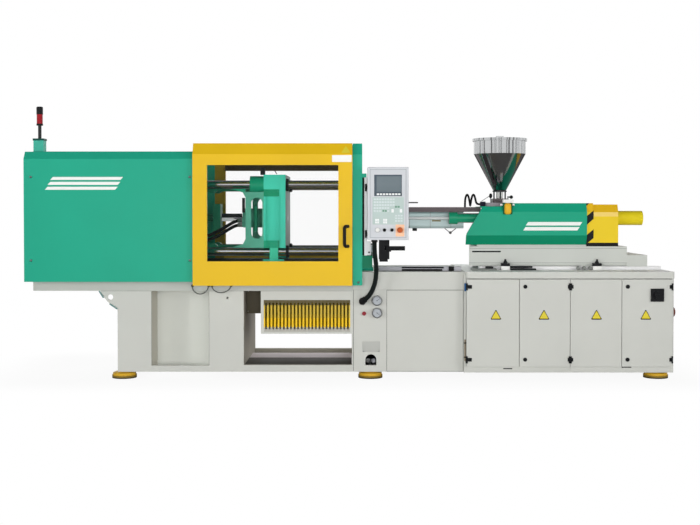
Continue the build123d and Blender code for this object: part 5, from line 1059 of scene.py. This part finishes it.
# The grey strips are painted shade of the groove.
for groove_x, groove_z in (((0.1452, 0.1482), (1.0535, 1.5515)), ((0.4058, 0.4088), (1.0535, 1.5515)),
                           ((0.1452, 0.4088), (1.5485, 1.5515)), ((0.1452, 0.4088), (1.0535, 1.0565))):
    add_box(screen, groove_x, (FACE_Y - 0.0008, FACE_Y + 0.001), groove_z, 0, 3)
put("panel_screen", screen, [bezel, screen_glass, key_white, finish("groove_painted_shade", srgb(158, 163, 168), 0.5)],
    "panel")

# %% [markdown]
# ### Keys of the control panel
# Below the screen lies a pale field of small plain keys, ten of them white and four green.
# A key is a box with soft edges, and loops set the keys out in rows.

# %% Key field
key_pale = finish("key_pale", srgb(210, 220, 220), 0.5, mottle=0.03)
key_green = finish("key_green", srgb(120, 160, 140), 0.5)
field = finish("key_field", srgb(186, 202, 198), 0.5, mottle=0.04)
keys = bmesh.new()
add_box(keys, (0.164, 0.392), (FACE_Y - 0.0008, FACE_Y + 0.001), (1.15, 1.349), 0.0004, 0)


def add_key(x, z, rise, edge, slot, segments=2):
    """A key of the field, between two spans, that rises from the panel's face."""
    add_box(keys, x, (FACE_Y - rise, FACE_Y - 0.0005), z, edge, slot, segments=segments)


for row in range(5):
    for column in range(8):
        key_x = 0.18 + column * 0.0195
        if key_x <= 0.29 or row <= 2:
            add_key(around(key_x, 0.0078), around(1.334 - row * 0.0215, 0.0065), 0.002, 0.0007, 1, 1)
for column in range(3):
    for row in range(3):
        add_key(around(0.335 + column * 0.02, 0.0075), around(1.214 - row * 0.019, 0.006), 0.002, 0.0007,
                1, 1)
for white_x in ((0.301, 0.3185), (0.362, 0.3795)):
    add_key(white_x, (1.237, 1.2625), 0.003, 0.001, 2)
for low_x, high_x in ((0.182, 0.2115), (0.24, 0.2705)):
    step = (high_x - low_x) / 2
    for half in (0, 1):
        for row in (0, 1):
            add_key((low_x + half * step + 0.001, low_x + (half + 1) * step - 0.001),
                    (1.158 + row * 0.018, 1.173 + row * 0.018), 0.0028, 0.0008, 2)
for green_x, green_z in (((0.327, 0.3425), 1.279), ((0.3455, 0.362), 1.279), ((0.235, 0.25), 1.249),
                         ((0.253, 0.268), 1.249)):
    add_key(green_x, around(green_z, 0.007), 0.0028, 0.0008, 3)
put("panel_keys", keys, [field, key_pale, key_white, key_green], "panel")

# %% [markdown]
# ### Stop plate and rings of the bottom row
# The stop button stands on a pale orange plate in a black collar. Two knobs and the key
# stand in steel rings. The button moves 6 mm in, so the plate is only a film, and the
# collar stays low enough for the button's head.

# %% Stop plate and rings
peach = finish("stop_plate", srgb(246, 196, 160), 0.45, mottle=0.03)
stop_plate = bmesh.new()
add_plate(stop_plate, rectangle(0.332, 0.395, 1.063, 1.152), 0.0002, (0, FACE_Y, 0), 0, 0, 0.006)
add_turned(stop_plate, [(0.0126, 0.0002), (0.0205, 0.0002), (0.0205, 0.0018), (0.018, 0.0032),
                        (0.0126, 0.0032), (0.0126, 0.0002)],
           (middle_of("stop_button", "x"), FACE_Y, middle_of("stop_button", "z")), slot=1)
put("stop_plate", stop_plate, [peach, black_plastic], "panel")

rings = bmesh.new()
for knob, outer in (("selector_knob_left", 0.013), ("selector_knob_right", 0.013), ("key_switch", 0.0185)):
    inner = outer - 0.0015
    add_turned(rings, [(inner, 0), (outer, 0), (outer, 0.0012), (inner, 0.0016), (inner, 0)],
               (middle_of(knob, "x"), FACE_Y, middle_of(knob, "z")))
put("knob_rings", rings, [zinc], "panel")

# %% [markdown]
# ### Seams of the beds
# Sheet plates close the fronts of both beds. Where they meet, a dark gasket or a narrow
# joint draws a fine line. Here each line is a thin strip that stands a little proud of the
# wall behind it. The three darker ones are gaskets. Three pale ones, at the cabinet's
# corner and in the recess's two inner corners, are painted shade.

# %% Seams
joint_grey = finish("gasket", srgb(84, 86, 82), 0.6)
seam_and_corner_shade = finish("seam_and_corner_shade_strip", srgb(142, 144, 139), 0.5)
TABLE_SEAM_Z = (0.6538, 0.6562)
seams = bmesh.new()
# The pale strips at x 0.8385, -1.4745 and -1.0475 are painted shade in inside corners.
for x, z, tone in (
    ((0.0235, 0.0268), (0.06, 0.6635), 0), ((0.2713, 0.2738), (0.06, 0.66), 0),
    ((0.0268, 0.8415), (0.6602, 0.6635), 0), ((0.274, 0.8415), (0.0565, 0.0598), 1),
    ((0.8385, 0.8418), (0.06, 0.66), 1), ((-1.85, -1.476), TABLE_SEAM_Z, 1),
    ((-1.0445, -0.789), TABLE_SEAM_Z, 1), ((-0.6615, 0.0145), TABLE_SEAM_Z, 1),
    ((-1.4745, -1.4722), (0.101, 0.655), 1), ((-1.0475, -1.0452), (0.101, 0.655), 1),
):
    add_box(seams, x, (-0.5036 if x[0] > 0.27 else -0.5012, -0.4992), z, 0, tone)
put("bed_seams", seams, [joint_grey, seam_and_corner_shade], "machine")

# %% [markdown]
# ### Plinth, chute and gusset
# A plinth fills the gap under the cabinet doors. A dark plate with four screws stands at
# the chute's left, over a tray on the bed's floor. The tray's front half is painted dark,
# as painted shade under the machine, and its rear half pale, as a painted reflection.
# Two strips edge the gusset. Apart from the screws all are boxes, and the strips are
# turned to lie along the gusset's slope.

# %% Plinth, chute plate, tray and edging
plinth = bmesh.new()
for plinth_x in ((0.857, 1.6215), (1.6285, 2.3775)):
    add_box(plinth, plinth_x, (-0.5385, -0.5325), (0.0575, 0.0995), 0.001)
put("cabinet_plinth", plinth, [grey_paint], "machine")

CHUTE_PLATE_FRONT = -0.303
chute_parts = bmesh.new()
add_box(chute_parts, (-0.786, -0.664), (CHUTE_PLATE_FRONT, -0.298), (0.47, 0.6558), 0.0008)
for screw_x in (-0.774, -0.677):
    for screw_z in (0.486, 0.64):
        place = (screw_x, CHUTE_PLATE_FRONT, screw_z)
        add_turned(chute_parts, pan_head(0.005, 0.003), place, slot=1, steps=14)
# The tray's front half is painted shade and its rear half a painted reflection.
for tray_y, tone in (((-0.478, -0.05), 2), ((-0.05, 0.238), 3)):
    add_box(chute_parts, (-0.787, 0.013), tray_y, (0.0945, 0.1), 0.0005, tone)
put("chute_side_plate", chute_parts, [finish("dark_primer", srgb(92, 86, 72), 0.55), zinc,
                                      finish("tray_painted_shade", srgb(84, 82, 78), 0.6),
                                      finish("tray_painted_reflection", srgb(232, 224, 228), 0.6)], "machine")

edging = bmesh.new()
for edge_x, middle_z, tilt in (((-1.874, -1.814), 0.630, 57), ((-1.789, -1.722), 0.5415, 34)):
    add_box(edging, edge_x, (-0.508, -0.496), around(middle_z, 0.005), 0.002, 0, tilted(tilt))
put("gusset_edging", edging, [finish("edging", srgb(104, 140, 138), 0.5)], "machine")

# %% [markdown]
# ### Ends of cables and hoses
# A cable leaves a sheet through a plastic bush, and a hose ends in a pressed steel
# ferrule. Both are turned shapes, placed at the first and last points of the routes
# above, so that they follow when a route is changed.

# %% Cable bushes and hose ferrules
bushes = bmesh.new()
for route in loop_routes.values():
    for end in (route[0], route[-1]):
        add_turned(bushes, [(0.0045, 0), (0.01, 0), (0.01, 0.004), (0.0075, 0.008), (0.0045, 0.008),
                            (0.0045, 0)], end, steps=20)
put("cable_bushes", bushes, [black_plastic], "machine")
for tag, (end_x, end_z), way, body in (("front", hose_line[0], "-x", "moving_assembly"),
                                       ("tail", hose_line[-1], "x", "tail_assembly")):
    ferrules = bmesh.new()
    for drop in HOSE_DROPS:
        add_turned(ferrules, [(0.0133, 0), (0.0165, 0), (0.0165, 0.01), (0.0152, 0.012), (0.0165, 0.014),
                              (0.0165, 0.032), (0.0145, 0.036), (0.0133, 0.036), (0.0133, 0)],
                   (end_x, HOSE_Y, end_z - drop), way, steps=24)
    put(f"hose_ferrules_{tag}", ferrules, [zinc], body)

# %% [markdown]
# ### Fittings at the bed's front
# A blue valve lever, a short pipe with two clips, two dark slots and a round cap sit on
# the cabinet. They are boxes and turned shapes placed straight on the sheet. The cap is
# at the right end, and reaches 17 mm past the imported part.

# %% Lever, pipe, slots and side cap
PIPE_X, PIPE_Y, PIPE_RADIUS = 0.8495, -0.5445, 0.0055
front_fittings = bmesh.new()
add_box(front_fittings, (0.8428, 0.8572), (-0.556, -0.5385), (0.656, 0.716), 0.004, 0)
add_turned(front_fittings, rod(PIPE_RADIUS, 0.158), (PIPE_X, PIPE_Y, 0.141), "z", 1, 16)
for clip_z in (0.165, 0.27):
    add_turned(front_fittings, [(PIPE_RADIUS, 0), (0.0085, 0), (0.0085, 0.008), (PIPE_RADIUS, 0.008)],
               (PIPE_X, PIPE_Y, clip_z), "z", 2, 16)
# The two slots are black strips: painted shade in the slots.
for slot_x, slot_z in (((1.133, 1.199), 0.083), ((2.008, 2.081), 0.094)):
    add_box(front_fittings, slot_x, (-0.5392, -0.5375), around(slot_z, 0.004), 0.0005, 2)
add_turned(front_fittings, [(0, 0.018), (0.022, 0.018), (0.034, 0.012), (0.037, 0.004), (0.037, -0.001),
                            (0, -0.001)], (span_of("injection_bed", "x")[1] - 0.001, -0.5, 0.5), "x", 3)
put("front_fittings", front_fittings, [finish("valve_blue", srgb(36, 84, 132), 0.35),
                                       finish("pipe_brown", srgb(140, 128, 108), 0.45), black_plastic,
                                       finish("cap_brown", srgb(110, 60, 52), 0.45)], "machine")

# %% [markdown]
# ### Hose guide and bracket cover
# A grey rail with black inserts lies on the tank, as a guide for hoses to the injection
# unit. A black seal and a pale cover with one screw close the panel's bracket.

# %% Rail of the hose guide, bracket cover and seal
guide = bmesh.new()
add_box(guide, (0.215, 0.838), (-0.38, -0.3), (0.7972, 0.829), 0.003, 0)
add_box(guide, (0.39, 0.705), (-0.386, -0.3802), (0.817, 0.8285), 0.001, 1)
add_box(guide, (0.39, 0.695), (-0.386, -0.3802), (0.7985, 0.8115), 0.001, 1)
add_box(guide, (0.742, 0.782), (-0.39, -0.3802), (0.7985, 0.832), 0.002, 1)
put("tank_guide_rail", guide, [finish("rail_grey", srgb(176, 176, 182), 0.4), black_plastic], "machine")
bracket_parts = bmesh.new()
add_box(bracket_parts, (0.0905, 0.1046), (-0.576, -0.57), (0.9225, 1.4935), 0.0008, 0)
add_box(bracket_parts, (0.126, 0.153), (-0.59, -0.586), (0.925, 1.027), 0.001, 1)
add_turned(bracket_parts, pan_head(0.007, 0.004), (0.139, -0.59, 0.945), slot=0, steps=18)
put("bracket_cover", bracket_parts, [black_plastic, pale_paint], "machine")

# %% [markdown]
# ### Back of the machine
# The photo doesn't show the back. A cabinet of this kind breathes through louvres, and
# its tank has an oil sight glass, so those are the forms used here. A louvre is a soft
# box turned a little, over a dark slit.

# %% Louvres and sight glass
louvres = bmesh.new()
for left_x in (0.98, 1.76):
    add_plate(louvres, rectangle(left_x, left_x + 0.46, 0.32, 0.56), 0.002, (0, 0.562, 0), 0, 0, 0.01)
    for row in range(9):
        low = 0.34 + row * 0.0235
        add_box(louvres, (left_x + 0.03, left_x + 0.43), (0.5615, 0.5675), (low, low + 0.009), 0.003, 0,
                tilted(-14, "X"))
        # The black strip behind each louvre is painted shade in its opening.
        add_box(louvres, (left_x + 0.035, left_x + 0.425), (0.562, 0.5632), (low - 0.007, low - 0.001), 0, 1)
put("rear_louvres", louvres, [grey_paint, black_plastic], "machine")
tank_parts = bmesh.new()
add_box(tank_parts, (0.575, 0.605), (0.4995, 0.513), (0.42, 0.56), 0.005, 0)
add_box(tank_parts, (0.583, 0.597), (0.5125, 0.5145), (0.435, 0.545), 0.001, 1)
put("tank_sight_glass", tank_parts, [black_plastic, sign_yellow], "machine")

# %% [markdown]
# ### Fittings of the clamp
# Behind the window there are a bracket and a thin stay on the moving platen, a dark cover
# over the guide rods with a bright strip below it, which is a painted highlight, a pipe in
# the oval window in the teal's darker copy, which is painted shade, and wiper rings where
# the tie bars pass. All ride the moving platen, so that they travel with it.

# %% Moving platen's fittings
CLAMP_AXIS_Z, TIE_BAR_WAY = middle_of("moving_platen", "z"), 0.255
PLATEN_FACE_X = span_of("moving_platen", "x")[1]
clamp_parts = bmesh.new()
add_box(clamp_parts, (-0.68, -0.646), (-0.3, -0.25), (1.5225, 1.576), 0.002, 0)
add_box(clamp_parts, (-0.595, -0.545), (-0.282, -0.276), (1.5475, 1.5535), 0.001, 0, tilted(58))
add_box(clamp_parts, (-0.818, -0.7965), (-0.312, -0.302), (1.236, 1.348), 0.001, 0)
add_box(clamp_parts, (-1.0, -0.84), (-0.078, -0.066), (1.199, 1.228), 0.003, 0)
# The bright strip under the cover is a painted highlight.
add_box(clamp_parts, (-1.0, -0.902), (-0.08, -0.066), (1.168, 1.197), 0.006, 1)
add_turned(clamp_parts, rod(0.015, 0.19), (-0.717, -0.272, 1.096), "z", 2, 20)
for ring_y in around(0, TIE_BAR_WAY):
    for ring_z in around(CLAMP_AXIS_Z, TIE_BAR_WAY):
        add_turned(clamp_parts, [(0.0335, 0), (0.048, 0), (0.048, 0.014), (0.042, 0.022), (0.0335, 0.022),
                                 (0.0335, 0)], (PLATEN_FACE_X, ring_y, ring_z), "x")
put("platen_fittings", clamp_parts, [black_paint, finish("rail_painted_highlight", srgb(236, 238, 240), 0.3), teal_painted_shade],
    "moving_assembly")

# %% [markdown]
# ### Fittings of the sled
# The sled has a slot, two clamps with their cone-headed bolts on pale blocks, guide bars,
# three rollers, and two ledges that show as fine lines. They are a plate, boxes and turned
# shapes on the sled's front, and ride the carriage.

# %% Sled: slot, ledges, clamps, bars and rollers
BED_TOP = 0.8008
sled_parts = bmesh.new()
# The slot is a black film: painted shade in the slot.
add_plate(sled_parts, rectangle(0.928, 1.149, 0.9335, 0.945), FILM, (0, HOUSING_FACE, 0), 0, 0, 0.0055)
for ledge_z in (0.963, 0.8535):
    add_box(sled_parts, (0.9085, 2.1085), (-0.2808, -0.2798), around(ledge_z, 0.0013), 0, 1)
for clamp_x in (1.18, 1.876):
    add_box(sled_parts, around(clamp_x, 0.033), (-0.32, -0.2795), (0.8305, 0.851), 0.002, 0)
    add_turned(sled_parts, [(0, 0.031), (0.007, 0.031), (0.0085, 0.02), (0.015, 0.008), (0.015, 0), (0, 0)],
               (clamp_x, -0.3, 0.851), "z", 0, 24)
    add_box(sled_parts, around(clamp_x, 0.033), (-0.32, -0.285), (BED_TOP, 0.8298), 0.001, 2)
add_box(sled_parts, (1.217, 1.382), (-0.33, -0.2815), (0.8165, 0.8305), 0.002, 0)
add_box(sled_parts, (1.217, 1.41), (-0.335, -0.29), (BED_TOP, 0.8125), 0.003, 0)
add_box(sled_parts, (0.915, 1.11), (-0.36, -0.29), (BED_TOP, 0.812), 0.004, 1)
add_box(sled_parts, (1.03, 1.085), (-0.335, -0.285), (0.812, 0.8265), 0.003, 0)
for roller_x in (1.735, 1.78, 1.825):
    add_turned(sled_parts, [(0, 0.03), (0.011, 0.03), (0.013, 0.027), (0.013, 0.003), (0.011, 0), (0, 0)],
               (roller_x, -0.282, 0.8142), "-y", 1, 24)
put("sled_fittings", sled_parts, [black_paint, finish("fitting_grey", srgb(132, 135, 131), 0.4), white_plate],
    "carriage")

# %% [markdown]
# ### Fittings of the barrel cover
# The cover has a grab handle on a post, a foot below, a V bracket with a ring, a small
# plate and four narrow bands. The V is one box, placed twice with opposite turns.

# %% Barrel cover: handle, foot, V bracket and small plate
cover_parts = bmesh.new()
add_box(cover_parts, (0.385, 0.527), (-0.136, -0.126), (1.308, 1.318), 0.004, 0)
add_turned(cover_parts, rod(0.0045, 0.034), (0.395, -0.131, 1.277), "z", 0, 16)
add_box(cover_parts, (0.486, 0.52), (-0.12, -0.08), (1.093, 1.1145), 0.004, 1)
for bar_x, tilt in ((0.7585, 38), (0.7985, -38)):
    add_box(cover_parts, around(bar_x, 0.03), (-0.122, -0.112), (1.0915, 1.0975), 0.0015, 0, tilted(tilt))
add_turned(cover_parts, ring(0.004, 0.011, 0.012), (0.7785, -0.111, 1.08), slot=0, steps=24)
add_box(cover_parts, (0.635, 0.703), (-0.1315, -0.1295), (1.1665, 1.1795), 0.0006, 2)
for band_x in (0.3, 0.46, 0.62, 0.78):
    add_box(cover_parts, (band_x, band_x + 0.003), (-0.1312, -0.1295), (1.1145, 1.2385), 0.0004, 3)
put("cover_fittings", cover_parts, [finish("dark_steel", srgb(120, 118, 118), 0.35, 1.0), black_paint,
                                    finish("olive_plate", srgb(150, 142, 112), 0.5), zinc], "carriage")

# %% [markdown]
# ### Around the hopper's foot
# Under the cone stands a pale sight glass. Beside it are a knob on a thin rod, a grey
# rail on the deck, and a yellow cover with a white cap on a dark green block, which is
# painted shadow round the cover. The hopper is round, so its middle is its right edge less
# its radius.

# %% Sight glass, knob, rail and yellow cover
HOPPER_X = round(span_of("hopper", "x")[1] - span_of("hopper", "y")[1], 4)
KNOB_X, KNOB_Y = 1.0905, -0.12
foot_parts = bmesh.new()
add_turned(foot_parts, ring(0.024, 0.0275, 0.052, 0.0012), (HOPPER_X, 0, 1.345), "z", 0, 40)
add_turned(foot_parts, [(0, 0.019), (0.007, 0.017), (0.012, 0.008), (0.013, 0), (0.012, -0.008),
                        (0.007, -0.017), (0, -0.019)], (KNOB_X, KNOB_Y, 1.3655), "z", 1, 24)
add_box(foot_parts, (1.013, 1.085), (-0.1225, -0.1175), (1.3405, 1.3455), 0.001, 2, tilted(-33))
add_turned(foot_parts, rod(0.004, 0.085), (KNOB_X, KNOB_Y, 1.2835), "z", 2, 12)
add_box(foot_parts, (1.042, 1.166), (-0.235, -0.2), (1.2832, 1.312), 0.002, 3)
# The dark green block round the yellow cover is painted shadow.
add_box(foot_parts, (1.163, 1.236), (-0.286, -0.24), (1.222, 1.309), 0.006, 4)
add_box(foot_parts, (1.1735, 1.2265), (-0.302, -0.245), (1.222, 1.3085), 0.018, 5, segments=4)
add_box(foot_parts, (1.169, 1.2465), (-0.27, -0.205), (1.3095, 1.336), 0.002, 0)
for pad_x in ((1.145, 1.1625), (1.2365, 1.254)):
    add_box(foot_parts, pad_x, (-0.27, -0.245), (1.289, 1.303), 0.002, 0)
put("hopper_foot_fittings", foot_parts, [white_plate, black_plastic, zinc,
                                         finish("deck_rail", srgb(142, 137, 142), 0.45),
                                         finish("cover_painted_shadow", srgb(6, 92, 52), 0.5),
                                         finish("cover_yellow", srgb(230, 178, 44), 0.3)], "carriage")
